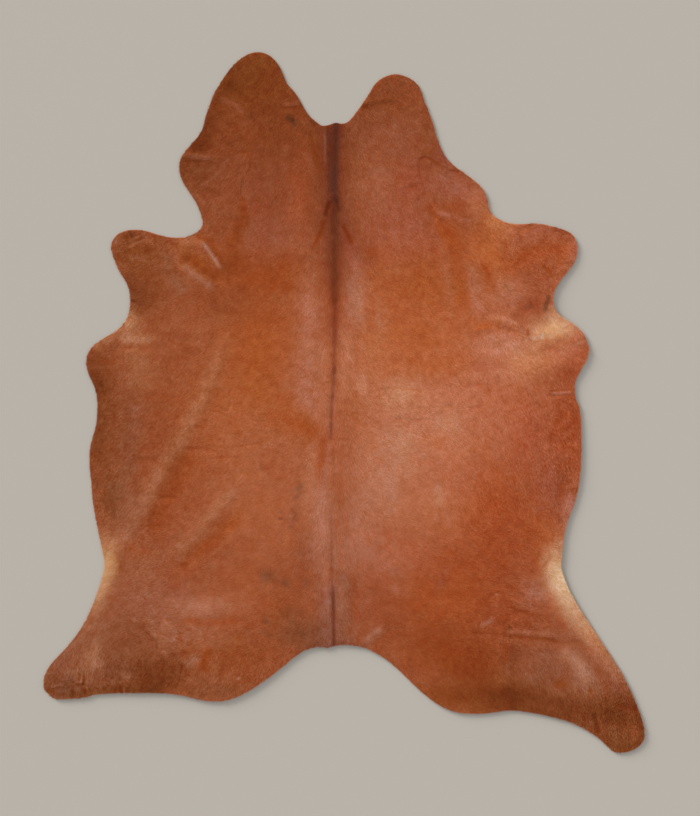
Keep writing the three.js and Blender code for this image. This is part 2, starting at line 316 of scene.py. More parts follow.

# Fine creases, rolls and stains: half width, 1 where the ends fade out, and how far
# the skin rises or sinks there (0 where only the colour changes). Where a sinking line
# is darker, that darkening is painted shade in the crease, and where a rising line is
# lighter, that is a painted highlight on the roll; the spine lines are the stripe of
# darker hair along the back.
LINE_COLUMNS = ("name", "half", "fade", "rise", "light", "warm", "gold", "along")
LINES = (
    ("ear left streak", 9.1, 1, 0, -25, 0, 2, ((-340, 974), (-343, 953), (-337, 939))),
    ("ear left fold", 8.4, 1, 0.7, 29, -8, -5, ((-386, 929), (-358, 917), (-328, 899), (-301, 878))),
    ("ear left fold tail", 10.6, 1, 0, -3, -2, -1, ((-299, 880), (-293, 844), (-296, 795))),
    ("ear left under fold", 11.4, 1, -0.5, -5, 6, 3, ((-413, 909), (-385, 900), (-361, 884))),
    ("ear inner roll", 6.1, 1, 0.9, 23, -8, -4, ((-187, 906), (-156, 905), (-132, 908))),
    ("ear inner crease", 4.6, 1, -0.6, -28, 6, 3, ((-193, 896), (-163, 896), (-135, 896))),
    ("ear spot upper", 6.8, 0, 0, -55, -19, 2, ((-172, 864), (-157, 859))),
    ("ear spot lower", 6.1, 0, 0, -20, -26, 2, ((-155, 854), (-149, 843))),
    ("neck notch spot", 4.9, 0, 0, -43, -11, 3, ((-99, 856), (-90, 841))),
    ("neck pale strip", 3.3, 1, 0, 36, -13, -1, ((-59, 838), (-58, 777), (-56, 716))),
    ("neck brown streak", 7.3, 1, 0, -24, 4, 3, ((-105, 832), (-96, 786), (-80, 735), (-71, 686))),
    ("spine brown side", 7.6, 1, 0, -15, -5, -1, ((-42, 844), (-42, 735), (-41, 625))),
    ("spine neck core", 7.6, 0, -0.9, -35, -19, -3, ((-24, 850), (-24, 765), (-25, 686), (-25, 613))),
    ("spine neck deep", 6.1, 1, 0, 3, -14, 1, ((-32, 741), (-31, 686), (-29, 631))),
    ("spine shoulder core", 9.7, 0, -1.1, -36, -4, 2, ((-27, 613), (-26, 476), (-26, 309))),
    ("spine back core", 6.1, 0, -1, -28, -4, -2, ((-26, 309), (-26, 203), (-28, 90))),
    ("spine dark core", 4.6, 0, -1.3, -20, -12, -4, ((-29, 102), (-29, 66), (-34, 17))),
    ("spine loin core", 4.6, 0, -1.3, -26, -9, -4, ((-34, 17), (-36, -41), (-39, -110))),
    ("spine loin pale", 6.1, 1, 0, 4, -7, -1, ((-44, -104), (-50, -177), (-59, -238), (-71, -314))),
    ("spine loin brown", 3.8, 1, 0, -14, -2, -2, ((-33, -132), (-32, -208))),
    ("spine lower brown", 6.1, 1, 0, 0, -7, 0, ((-35, -299), (-32, -436))),
    ("spine croup pale thread", 4, 1, 0, 11, -11, 0, ((-26, -430), (-26, -475), (-24, -518))),
    ("spine loin pale top", 4, 1, 0, 5, -1, -1, ((-44, -74), (-45, -117), (-46, -153))),
    ("spine croup pale left", 9.1, 1, 0, 7, -2, 0, ((-53, -457), (-53, -542), (-50, -639))),
    ("spine croup pale right", 9.1, 1, 0, 10, -2, 0, ((-11, -518), (-11, -603), (-8, -648))),
    ("tuft left line", 5.5, 1, -1.2, -63, 18, 7, ((-41, 616), (-50, 589), (-58, 561))),
    ("tuft left branch", 6.1, 1, 0, -39, 15, 5, ((-58, 561), (-68, 528), (-80, 494), (-96, 467))),
    ("tuft right line", 3.6, 1, -1.2, -35, -7, 2, ((-23, 619), (-17, 598), (-12, 576))),
    ("tuft right pale", 6.1, 1, 0, 3, -4, 2, ((-9, 598), (-7, 558))),
    ("tuft right branch", 5.5, 1, 0, -42, 16, 5, ((-7, 543), (5, 522), (20, 494), (26, 476))),
    ("neck light stroke", 6.1, 1, 0.4, 16, -6, -3, ((-119, 761), (-107, 736), (-95, 709))),
    ("cheek left fold", 7.6, 1, 1.1, 29, -6, -4, ((-491, 756), (-460, 750), (-430, 744), (-400, 738))),
    ("cheek left line", 2.7, 1, -0.6, -33, 7, 3, ((-482, 733), (-448, 733), (-418, 731))),
    # painted shade beside the cheek fold
    ("cheek left fold shade", 9.9, 1, 0, -23, 2, 3, ((-478, 776), (-442, 766), (-412, 763))),
    ("cheek left arch", 3.6, 1, -0.3, -24, 7, 3, ((-336, 759), (-314, 763), (-296, 759), (-284, 741), (-287, 710), (-296, 686))),
    ("cheek left ridge", 4, 1, 0.5, 13, -7, -1, ((-454, 652), (-421, 665), (-394, 686), (-369, 713), (-351, 741), (-336, 756))),
    ("cheek left crease", 5.3, 1, -0.7, -24, -1, 1, ((-430, 649), (-400, 643), (-369, 628))),
    ("neck left line", 2.7, 1, -0.8, -13, -4, 1, ((-305, 680), (-311, 656), (-313, 628))),
    ("neck left brown", 7.6, 1, 0, -19, 9, 2, ((-311, 625), (-302, 601), (-302, 580))),
    ("neck dash", 2.3, 1, 0, -26, -11, 1, ((-216, 615), (-223, 591))),
    ("ear right crease", 6.1, 1, -1.3, -27, 4, 4, ((50, 894), (63, 896), (78, 900))),
    ("ear right thin crease", 8.4, 1, -0.7, -7, 3, 2, ((78, 902), (117, 906), (166, 905))),
    ("cheek right loop low", 9.1, 1, -0.5, 2, 4, 4, ((260, 592), (275, 561), (293, 528), (306, 491))),
    ("cheek right crescent", 6.8, 1, 0.9, 42, -11, -2, ((266, 595), (287, 577), (313, 569), (331, 563))),
    ("cheek right second crescent", 6.1, 1, 0.5, 17, -2, -2, ((329, 569), (354, 554), (390, 548))),
    ("neck right faint crease", 5.3, 1, -0.6, 0, 2, -1, ((169, 642), (200, 649), (227, 659))),
    ("leg left crease", 8.4, 1, -0.8, -13, 8, 2, ((-676, 452), (-649, 462), (-618, 467), (-588, 473))),
    ("leg left second crease", 7.6, 1, -0.6, 12, -8, -2, ((-625, 461), (-595, 467), (-571, 473))),
    ("leg left ridge", 12.2, 1, 0.5, 15, -1, -2, ((-644, 478), (-601, 490), (-558, 496))),
    ("shoulder left ridge", 5.2, 1, 1.2, 51, -26, -2, ((-439, 491), (-421, 476), (-403, 449), (-387, 425), (-372, 400))),
    # painted shade beside the shoulder ridge
    ("shoulder left ridge shade", 10.6, 1, 0, -12, 9, 3, ((-455, 505), (-420, 496), (-391, 470), (-370, 434))),
    ("shoulder left hollow", 13.7, 1, -0.7, -34, 1, 3, ((-496, 452), (-453, 422), (-410, 395), (-371, 370))),
    ("shoulder left second ridge", 11.4, 1, 1, 26, -16, -3, ((-494, 425), (-460, 394), (-424, 367), (-390, 349))),
    ("shoulder left nook", 3.8, 1, -0.8, -21, 3, 0, ((-545, 394), (-533, 391), (-524, 400))),
    ("armpit left slit", 3, 0, -1.3, -56, 1, 3, ((-647, 309), (-637, 307))),
    ("armpit left slit tail", 3.6, 1, -0.4, -6, -6, -1, ((-637, 301), (-612, 300), (-588, 303))),
    ("armpit left flecks", 6.1, 1, 0, -30, 6, -1, ((-669, 166), (-642, 172))),
    ("armpit left second flecks", 11.4, 1, 0, -23, 2, -1, ((-631, 168), (-601, 174), (-567, 186))),
    ("armpit left third flecks", 7.9, 1, 0, 0, 2, 0, ((-710, 160), (-649, 163), (-558, 157))),
    ("armpit left specks", 2.3, 0, 0, -12, -13, -3, ((-634, 190), (-628, 190))),
    ("armpit left second specks", 2.3, 0, 0, -15, -10, -3, ((-600, 190), (-591, 190))),
    ("elbow left ridge", 5.3, 1, 0.5, 6, -3, -2, ((-783, 110), (-740, 105), (-697, 108))),
    ("elbow left crease", 9.1, 1, -0.4, -11, 4, 1, ((-776, 125), (-728, 122), (-679, 125))),
    ("leg right stroke", 6.1, 1, -0.4, 6, 6, 3, ((525, 508), (549, 523), (571, 533))),
    ("leg right crease", 5.3, 1, -1, -27, 11, 3, ((599, 420), (621, 399), (642, 375))),
    ("armpit right dab", 5.3, 0, 0, -48, -10, 2, ((622, 319), (619, 304))),
    ("armpit right second dab", 6.1, 0, 0, -56, -13, 2, ((613, 297), (613, 283))),
    ("armpit right smudge", 6.1, 0, 0, -13, -12, 1, ((552, 288), (568, 291))),
    ("armpit right crease", 5.5, 1, -1.1, -4, 3, -1, ((515, 276), (530, 257), (546, 230), (559, 197))),
    ("armpit right fold", 6.7, 1, -0.4, 3, 7, 1, ((385, 218), (421, 230), (461, 227), (494, 218), (524, 206), (555, 194))),
    ("side right wrinkle", 6.8, 1, -0.4, -5, -1, -2, ((379, 111), (427, 109), (458, 107), (506, 107))),
    ("ribs left wrinkle", 2.3, 1, -0.4, -11, -2, 1, ((-594, 23), (-564, 19), (-509, 14))),
    ("ribs left short wrinkle", 2.3, 1, -0.2, 2, 5, 1, ((-591, -25), (-564, -33))),
    ("elbow left nick", 2.7, 1, -0.4, 9, -4, 0, ((-749, -27), (-722, -28), (-704, -34))),
    ("elbow left second nick", 2.7, 1, -0.4, -38, -1, 2, ((-716, -33), (-679, -36), (-649, -37))),
    ("back left wrinkle", 2.3, 1, -0.3, -24, 5, 1, ((-418, -25), (-384, -28), (-357, -40), (-327, -50))),
    ("back left long wrinkle", 2.3, 1, -0.3, -13, -3, -1, ((-326, -48), (-278, -54), (-229, -59))),
    ("back left short wrinkle", 4.6, 1, -0.9, -23, 9, 0, ((-457, -72), (-424, -77))),
    ("loin left wrinkle", 2.3, 1, -0.4, -24, 5, 0, ((-345, -135), (-302, -130), (-248, -124))),
    ("ribs left low wrinkle", 3.8, 1, -0.6, -20, 3, -1, ((-488, -141), (-448, -141), (-400, -142))),
    ("flank left wrinkle", 5.3, 1, -0.6, -19, 1, 0, ((-637, -170), (-600, -171), (-558, -171))),
    ("flank left slant wrinkle", 5.3, 1, -0.3, -13, 3, 0, ((-624, -150), (-594, -141), (-569, -133))),
    ("loin left second wrinkle", 3, 1, -0.3, -20, -2, -1, ((-421, -170), (-369, -167), (-308, -164))),
    ("loin left third wrinkle", 2.3, 1, -0.2, -8, 1, 0, ((-491, -223), (-424, -223), (-363, -221))),
    ("loin left fourth wrinkle", 5.3, 1, -0.3, -9, -2, 0, ((-363, -215), (-284, -211), (-212, -199))),
    ("loin left red strokes", 12.9, 1, 0, -18, 2, -1, ((-258, -209), (-234, -197), (-200, -181))),
    ("flank left low wrinkle", 3.8, 1, -0.4, -31, 4, 3, ((-558, -288), (-503, -287))),
    ("belly left crease", 6.1, 1, -0.8, -24, 2, 2, ((-736, -289), (-725, -310), (-713, -335))),
    ("belly left edge", 6.8, 1, -0.5, -20, -6, 1, ((-768, -239), (-753, -254), (-743, -270))),
    ("back right wrinkle", 2.3, 1, -0.2, -21, 7, 1, ((117, 46), (172, 42), (245, 34))),
    ("back right second wrinkle", 2.3, 1, -0.9, -8, 13, -3, ((151, -53), (184, -53))),
    ("back right third wrinkle", 3, 1, -0.5, -7, 1, -2, ((193, -56), (251, -55))),
    ("back right fifth wrinkle", 2.3, 1, -0.4, -9, 8, 2, ((287, -16), (342, -16))),
    ("side right second wrinkle", 3, 1, -0.5, -7, 4, -1, ((379, -18), (421, -15))),
    ("side right third wrinkle", 3, 1, -0.5, -14, 6, -1, ((385, 54), (433, 54))),
    ("elbow right nick", 2.4, 1, -0.6, 4, 8, 1, ((625, 33), (664, 33), (698, 34))),
    ("elbow right nick lip", 3.8, 1, 1.1, 31, -16, -2, ((622, 28), (664, 28), (698, 29))),
    ("belly right crease", 9.1, 1, -1, -10, 7, 1, ((666, -232), (661, -268), (648, -307))),
    ("belly right pale", 6.8, 1, 0, 20, -3, 0, ((693, -269), (675, -306), (660, -354))),
    ("belly right fleck", 5.3, 0, 0, -2, -7, -2, ((591, -328), (600, -323))),
    ("loin right pale streak", 12.2, 1, 0, 15, -9, 1, ((286, -244), (289, -281), (298, -324))),
    ("loin right pale tail", 11.4, 1, 0, 5, -5, 0, ((299, -323), (324, -369), (360, -414))),
    ("stifle left crease", 3.8, 1, -0.7, -11, -1, 1, ((-645, -666), (-617, -686), (-593, -705), (-575, -729), (-567, -753))),
    ("stifle left ridge", 4.6, 1, 0.9, 15, -2, 1, ((-589, -703), (-559, -709), (-523, -727))),
    ("stifle left second ridge", 12.2, 1, 0.6, 19, 0, 0, ((-557, -662), (-532, -675), (-520, -699))),
    ("stifle left red line", 10.6, 1, -0.6, -14, 7, 0, ((-521, -671), (-466, -667), (-418, -667), (-381, -668), (-296, -661))),
    ("rump left red", 8.4, 1, 0, -15, 5, 0, ((-503, -762), (-478, -758), (-448, -747))),
    ("rump left ring top", 6.7, 1, 0, 0, -2, -1, ((-430, -746), (-406, -740), (-387, -746))),
    ("rump left ring side", 10.3, 1, 0, -38, 18, 5, ((-400, -743), (-418, -767), (-427, -797), (-427, -828))),
    ("hind left dark line", 7.6, 1, -0.4, 17, -2, -1, ((-508, -829), (-489, -798), (-477, -780))),
    ("hind left long crease", 2.7, 1, -0.6, -10, 3, 1, ((-892, -870), (-855, -861), (-819, -857), (-770, -858))),
    ("flank left dark edge", 4.6, 1, 0, -15, 1, 1, ((-693, -458), (-679, -488), (-681, -524))),
    ("flank left speck", 3, 0, 0, 8, -10, -3, ((-711, -460), (-708, -460))),
    ("thigh left marks", 13.7, 1, 0, -4, 6, 0, ((-655, -457), (-643, -439), (-634, -433))),
    ("thigh left second marks", 7.6, 1, 0, -3, 5, 0, ((-617, -455), (-587, -446))),
    ("thigh left third marks", 6.8, 1, 0, -27, 3, 0, ((-503, -495), (-472, -492))),
    ("smudge upper", 6.1, 1, 0, -23, -14, 1, ((-121, -248), (-136, -260), (-145, -272))),
    ("smudge upper foot", 5.3, 1, 0, -22, -6, -1, ((-136, -283), (-158, -298))),
    ("smudge dot", 3.6, 0, 0, -18, -13, -1, ((-199, -335), (-190, -335))),
    ("smudge second dot", 3, 0, 0, -42, -13, -4, ((-199, -354), (-190, -354))),
    ("smudge third dot", 2.3, 0, 0, -12, -15, -1, ((-203, -402), (-194, -396))),
    ("smudge cloud", 6.8, 1, 0, -23, -1, 1, ((-165, -320), (-146, -340), (-152, -367))),
    ("smudge tail", 5.3, 1, 0, -7, -8, -1, ((-163, -372), (-159, -402))),
    ("blotch left", 15.2, 1, 0, -3, -9, 1, ((-235, -515), (-235, -557))),
    ("blotch right", 10.3, 1, 0, -13, -14, 0, ((-190, -545), (-169, -554))),
    ("blotch small", 6.1, 0, 0, -9, -11, -1, ((-117, -542), (-117, -557))),
    # painted highlight on the tail ridge
    ("tail right ridge", 10.9, 1, 0, 30, -11, 0, ((56, -737), (90, -706), (120, -682))),
    ("tail right line", 2.4, 1, -0.3, -3, -5, -1, ((126, -682), (172, -688), (233, -694), (309, -700), (385, -700))),
    ("stifle right crease", 3.8, 1, -1.1, -18, 4, 3, ((512, -633), (539, -637), (570, -644))),
    ("stifle right long crease start", 4.6, 1, -0.6, -30, 4, 1, ((384, -699), (427, -703), (476, -706))),
    ("stifle right long crease", 4.6, 1, -1.1, -31, 6, 2, ((476, -706), (518, -712), (567, -717), (615, -721), (664, -729))),
    ("stifle right long crease knot", 6.8, 1, -1.3, -10, 4, 0, ((688, -727), (709, -730), (728, -736))),
    ("stifle right long crease end", 7.6, 1, -0.8, -5, 5, 0, ((719, -734), (749, -764))),
    # painted highlights along the roll on the right stifle
    ("stifle right pale", 8.4, 1, 0, 30, -17, -2, ((411, -684), (435, -671), (460, -659))),
    ("stifle right second pale", 6.7, 1, 0, 22, -6, 0, ((476, -697), (521, -700), (567, -700), (613, -703), (646, -709))),
    ("stifle right dot", 3.8, 0, 0, -70, -10, 3, ((504, -684), (507, -687))),
    ("stifle right fan", 5.3, 1, -0.3, -24, 3, 1, ((493, -559), (528, -570), (558, -594))),
    ("stifle right second fan", 3.6, 1, -0.4, -15, 4, 1, ((512, -585), (543, -603), (567, -609))),
    ("flank right red edge", 6.7, 1, 0, -2, 3, 0, ((566, -470), (590, -500), (605, -540))),
    ("flank right red edge low", 9.7, 1, 0, -5, 7, 0, ((606, -539), (622, -585), (643, -627), (661, -670), (670, -706))),
    ("flank right fork", 3.8, 1, 0, -35, 10, -2, ((603, -504), (618, -483), (633, -465))),
    ("croup right speck", 3, 0, 0, 49, -12, -2, ((462, -585), (467, -585))),
    ("hind right orange spot", 12.2, 0, 0, -18, 15, 4, ((655, -858), (667, -858))),
    ("hind right second orange spot", 5.3, 1, 0, -29, 23, 5, ((746, -867), (752, -889))),
    ("hind right third orange spot", 6.1, 0, 0, -15, 3, 2, ((795, -857), (801, -869))),
    ("hind right red spot", 11.4, 0, 0, -18, 5, 0, ((768, -813), (774, -822))),
    ("hind right crease", 6.8, 1, -0.9, -56, 5, 3, ((758, -940), (764, -970), (780, -1012))),
    ("hind right stroke", 2.3, 1, -0.4, 0, -8, -3, ((702, -904), (718, -932))),
    ("hind right second stroke", 3, 1, -0.5, -5, -1, 2, ((678, -933), (687, -960))),
    ("hind right heel line", 3, 1, -0.4, -18, 18, 5, ((816, -916), (859, -928), (892, -940))),
    ("stifle right brown", 9.9, 1, 0, -14, 9, 2, ((485, -727), (494, -761), (488, -798))),
    ("stifle right light", 3, 1, 0, 8, -3, -1, ((496, -770), (497, -810))),
    ("rump left speck", 2.4, 0, 0, -5, -14, -1, ((-342, -743), (-339, -743))),
    ("rump left second speck", 3.8, 0, 0, 51, -19, 0, ((-322, -840), (-319, -840))),
    ("blotch lower side", 9.1, 0, 0, -29, -12, 0, ((-242, -664), (-232, -670))),
    ("blotch lower streak", 7.9, 1, 0, -14, -6, 0, ((-266, -697), (-242, -703), (-217, -715))),
    ("leg left orange two", 4.6, 1, 0, -8, 4, 0, ((-524, 461), (-515, 485))),
    ("leg left orange three", 4.3, 1, 0, -23, 8, 1, ((-512, 467), (-503, 491))),
    ("hind right fourth orange spot", 4.3, 0, 0, -6, -1, -1, ((710, -873), (716, -892))),
    ("hind right pale tuft", 4.3, 1, 0, 16, -1, 0, ((731, -873), (737, -901))),
    ("hind right second pale tuft", 4.9, 1, 0, 7, 0, 2, ((698, -846), (704, -882))),
    ("flank right arc", 3, 1, 0.3, 1, -5, 0, ((537, -104), (567, -132), (591, -165), (603, -202))),
    ("flank right second arc", 3, 1, 0.2, 3, -1, 0, ((488, -110), (506, -141), (518, -177))),
    ("flank right third arc", 3, 1, 0.2, 2, 1, 0, ((555, -183), (579, -220), (591, -256))),
    # the steps and folds of the left hind foot are drawn in colour only, as painted shade and painted highlights side
    # by side
    ("foot left step", 2.7, 1, 0, -34, 0, -1, ((-893, -871), (-877, -868), (-855, -865))),
    ("foot left step pale", 4.3, 1, 0, 36, 0, 0, ((-892, -865), (-874, -862), (-849, -857))),
    ("foot left crease", 2.7, 1, 0, 17, 5, 1, ((-843, -858), (-825, -854), (-804, -854))),
    ("foot left crease two", 2.7, 1, 0, -55, 8, 2, ((-816, -861), (-801, -858), (-789, -857))),
    ("foot left fold one", 4, 1, 0, -41, 14, 4, ((-806, -820), (-804, -834), (-807, -849))),
    ("foot left fold pale one", 3, 1, 0, 51, -12, -1, ((-796, -828), (-798, -843), (-799, -852))),
    ("foot left fold two", 4.3, 0, 0, -45, 26, 5, ((-791, -834), (-792, -852))),
    ("foot left fold three", 4.3, 1, 0, -21, 17, 5, ((-790, -860), (-787, -876), (-787, -898))),
    ("foot left fold pale two", 2.4, 1, 0, 47, -1, 0, ((-785, -863), (-780, -873), (-778, -882))),
    ("foot left fold four", 4.9, 1, 0, -62, 11, 5, ((-822, -873), (-825, -889), (-827, -901))),
    ("foot left fold pale three", 2.1, 1, 0, -3, 5, 0, ((-815, -873), (-817, -889), (-817, -898))),
    ("foot left fold five", 2.7, 0, 0, 19, -2, -2, ((-766, -876), (-773, -889))),
    ("foot left fold six", 2.7, 0, 0, 18, 7, -1, ((-754, -876), (-761, -890))),
    ("foot left fold pale four", 2.4, 0, 0, 2, -6, -1, ((-748, -873), (-755, -889))),
    ("foot left patch", 6.1, 0, 0, -34, 15, 5, ((-895, -878), (-884, -879))),
    ("foot left notch", 4.3, 0, 0, -32, 7, 3, ((-693, -861), (-693, -876))),
    ("foot left notch two", 4.9, 0, 0, -63, 24, 5, ((-680, -864), (-678, -882))),
    ("foot left notch pale", 2.7, 0, 0, 47, -9, -3, ((-670, -869), (-666, -879))),
    ("foot left bloom", 9.7, 0, 0, 40, -6, -1, ((-673, -826), (-662, -838))),
    ("foot left stroke", 2.4, 0, 0, -36, 8, 2, ((-901, -835), (-886, -828))),
    ("foot left stroke two", 2.4, 1, 0, -36, 2, -1, ((-898, -844), (-880, -834))),
    ("foot left brown spot", 4.9, 0, 0, -11, 3, -1, ((-881, -849), (-875, -844))),
    ("foot left thread", 2.7, 1, 0, -18, 5, -1, ((-754, -779), (-749, -791), (-742, -802))),
    ("foot left dusk", 5.5, 1, 0, -21, 2, 2, ((-685, -828), (-681, -849))),
    ("leg left dab", 6.1, 0, 0, -60, -5, 2, ((-652, 516), (-644, 504))),
    ("leg left dab two", 4.6, 0, 0, -32, 4, 5, ((-670, 499), (-655, 502))),
    ("leg left lick", 4, 1, 0, 35, -6, -2, ((-640, 497), (-621, 505))),
    ("leg left dab three", 4, 0, 0, -47, 10, 5, ((-631, 492), (-614, 499))),
    ("leg left lick two", 6.1, 1, 0, 5, -2, 0, ((-615, 490), (-591, 494))),
    ("leg left dab four", 6.1, 0, 0, -36, 7, 4, ((-576, 505), (-574, 491))),
    ("leg left lick three", 4.3, 1, 0, 36, 1, -2, ((-656, 471), (-637, 479))),
    ("leg left dab five", 4.6, 0, 0, -2, 7, 1, ((-612, 476), (-596, 484))),
    ("leg left dab six", 6.7, 0, 0, -28, 14, 5, ((-602, 463), (-585, 468))),
    ("leg left dab seven", 4.6, 0, 0, -7, -1, 1, ((-670, 453), (-652, 459))),
    ("leg left dab eight", 4.9, 0, 0, -6, 4, 2, ((-631, 455), (-618, 451))),
    ("leg left dab nine", 4.9, 0, 0, -13, 5, 2, ((-685, 447), (-682, 431))),
    ("leg left lick four", 3.3, 1, 0, -6, 4, 1, ((-591, 475), (-564, 481))),
    ("leg left lick five", 3.6, 0, 0, 24, -11, 0, ((-696, 482), (-690, 496))),
    ("leg left lick six", 3, 0, 0, 19, -8, -2, ((-653, 449), (-646, 437))),
    ("leg left lick seven", 6.7, 0, 0, 17, -6, -3, ((-631, 440), (-615, 434))),
    # painted shade in the slit of the right armpit fold
    ("armpit right slit", 2.7, 1, 0, -50, 10, -3, ((557, 225), (560, 212), (558, 200))),
    ("armpit right foot", 2.1, 0, 0, -19, 5, -3, ((564, 192), (571, 186))),
    ("armpit right dots", 2.1, 1, 0, -35, 4, -3, ((573, 185), (585, 184), (597, 187))),
    ("armpit right hook", 4.6, 1, 0, 14, -14, 0, ((566, 197), (576, 195), (587, 193))),
    ("armpit right white tip", 2.7, 0, 0, 36, -40, -5, ((603, 206), (601, 194))),
    ("armpit right hook end", 3, 0, 0, 0, -7, -2, ((590, 195), (597, 191))),
    ("armpit right light band", 3.6, 1, 0, 6, -10, -1, ((608, 199), (634, 201))),
    ("elbow right line", 2.4, 1, 0, 6, 3, 1, ((625, 159), (637, 164), (652, 173), (667, 184), (682, 192))),
    ("elbow right line lip", 2.1, 1, 0, -4, 2, 0, ((635, 159), (652, 169), (667, 179), (684, 188))),
    ("elbow right hollow", 6.1, 1, 0, -1, 9, -1, ((608, 163), (625, 159), (643, 166))),
    ("elbow right upper line", 2.4, 1, 0, -31, 11, 1, ((664, 220), (684, 233))),
    ("elbow right rim light", 4.6, 1, 0, 36, -6, 1, ((704, 178), (719, 180), (731, 187))),
    ("elbow right rim dab", 4.3, 0, 0, -10, -4, -2, ((695, 223), (704, 224))),
    ("stifle left rung", 2.4, 0, 0, -3, 0, -1, ((-507, -681), (-489, -678))),
    ("stifle left rung light", 2.1, 1, 0, -14, -5, 1, ((-498, -686), (-479, -681))),
    ("stifle left rung two", 2.4, 1, 0, -25, 7, -1, ((-489, -690), (-465, -692))),
    ("stifle left rung light two", 2.4, 1, 0, 13, -3, 0, ((-489, -701), (-466, -699))),
    ("stifle left rung three", 2.4, 1, 0, -39, 10, 0, ((-504, -702), (-483, -704))),
    ("stifle left rung light three", 2.4, 0, 0, -4, 1, 1, ((-508, -708), (-493, -707))),
    ("stifle left rung four", 2.7, 0, 0, -47, 12, 0, ((-510, -719), (-493, -724))),
    ("stifle left rung light four", 2.1, 0, 0, -18, -1, -1, ((-506, -714), (-495, -717))),
    ("stifle left hook", 3, 0, 0, -21, 1, -2, ((-600, -700), (-589, -710))),
    ("stifle left hook light", 3.6, 1, 0, 5, 2, 0, ((-592, -700), (-580, -710), (-565, -720))),
    ("stifle left hook two", 2.7, 0, 0, -13, -4, 0, ((-583, -716), (-572, -729))),
    ("stifle left hook three", 3.3, 1, 0, -32, 2, 0, ((-573, -734), (-566, -753))),
    ("stifle left lick", 2.7, 0, 0, 3, 1, -2, ((-577, -730), (-584, -744))),
    ("stifle left lick two", 3, 0, 0, 1, -2, -2, ((-579, -754), (-572, -762))),
    ("stifle left dab", 3.6, 0, 0, -22, -2, 1, ((-553, -772), (-552, -785))),
    ("stifle left dab two", 3.6, 0, 0, -18, 7, 3, ((-523, -805), (-519, -820))),
    ("stifle left dab three", 3.6, 0, 0, -51, 11, 3, ((-493, -802), (-497, -820))),
    ("stifle left lick three", 3, 1, 0, 24, -8, -1, ((-487, -813), (-493, -836))),
    ("stifle left lick four", 2.4, 1, 0, 11, -2, 0, ((-509, -834), (-516, -860))),
    ("stifle left dab four", 3, 0, 0, -5, 5, 2, ((-499, -831), (-505, -847))),
    ("stifle left bare spot", 10.3, 0, 0, 27, -15, -1, ((-465, -793), (-452, -782))),
    ("stifle left bare spot two", 5.2, 0, 0, 1, -3, 0, ((-483, -788), (-474, -797))),
    ("stifle left rust", 7, 0, 0, -11, 1, 1, ((-489, -758), (-483, -770))),
    ("stifle left low light", 6.1, 1, 0, 14, -3, 0, ((-479, -840), (-457, -847))),
    ("stifle left dot light", 3.6, 0, 0, 30, -3, 0, ((-553, -759), (-545, -759))),
    ("hind right heel end", 3.3, 1, 0, -26, 9, 2, ((875, -924), (886, -930), (898, -938))),
    ("elbow left thread", 2.4, 1, 0, 2, 4, 3, ((-758, 105), (-728, 105), (-694, 107))),
    ("elbow left thread two", 2.4, 1, 0, 7, -10, -1, ((-640, 83), (-600, 85), (-561, 87))),
    ("elbow left thread three", 2.4, 1, 0, 28, -2, -1, ((-746, -34), (-710, -34), (-664, -35))),
    ("leg right edge stroke", 4.6, 1, 0, -22, -1, -1, ((634, 528), (652, 523), (670, 519), (685, 511))),
    ("spine croup fine", 3, 1, -0.5, -8, 5, -1, ((-37, -299), (-36, -390), (-35, -481))),
    ("spine croup line", 3.6, 1, -1.1, -3, -5, -1, ((-35, -414), (-34, -496), (-32, -579), (-31, -639))),
    ("spine tail line", 4.9, 1, -1.3, -48, -1, -1, ((-32, -554), (-31, -621), (-30, -682), (-29, -791))),
    ("cheek right rim", 2.7, 1, -1, -22, 7, 0, ((227, 725), (233, 739), (245, 746), (263, 739), (284, 725), (303, 713), (324, 705))),
    ("cheek right rim end", 3, 1, -1, -32, 0, -2, ((318, 707), (336, 702), (354, 700))),
    ("cheek right side", 2.4, 1, 0, -20, 6, 1, ((225, 725), (228, 704), (234, 680), (242, 649))),
    ("cheek right side thread", 2.1, 1, 0, -10, 2, -1, ((241, 662), (246, 643), (254, 619), (266, 595))),
)

# How much rougher (above 0) or smoother (below 0) the coat is than on the back.
ROUGH_COLUMNS = ("name", "x", "y", "rx", "ry", "more")
ROUGHS = (
    ("left foreleg end", -650, 460, 70, 60, 0.7),
    ("left shoulder fold", -424, 452, 60, 60, 0.2),
    ("right armpit", 500, 200, 60, 60, 0.2),
    ("right armpit cream", 640, 225, 60, 45, -0.35),
    ("right flank hollow", 670, -570, 70, 120, -0.6),
    ("left flank hollow", -725, -510, 55, 100, -0.85),
    ("right foreleg", 600, 440, 110, 80, 0.3),
    ("right hind thigh", 560, -640, 90, 110, 0.5),
    ("right hind foot", 820, -950, 130, 90, 0.7),
    ("right thigh", 450, -740, 90, 90, 0.35),
    ("right back", 170, -330, 150, 260, -0.22),
    ("left side edge", -740, -110, 80, 220, 0.4),
    ("left hind foot", -760, -850, 130, 70, 0.55),
    ("left hind thigh", -545, -760, 110, 100, 0.4),
    ("left stifle", -430, -620, 80, 70, -0.35),
    ("left croup", -285, -490, 110, 110, -0.35),
    ("left loin", -220, -300, 110, 120, -0.25),
    ("left back", -260, 150, 110, 150, -0.2),
    ("right shoulder", 240, 280, 130, 120, 0.05),
    ("left ribs", -580, -110, 90, 120, 0.25),
    ("left flank", -660, -420, 90, 130, 0.3),
    ("right side edge", 690, -160, 70, 230, 0.3),
    ("right belly", 600, -115, 90, 130, 0.3),
    ("right flank low", 476, -360, 110, 110, 0.2),
    ("left neck", -440, 700, 90, 110, 0.25),
    ("croup right", 240, -690, 170, 130, -0.1),
    ("left ear", -260, 930, 150, 150, 0.2),
)
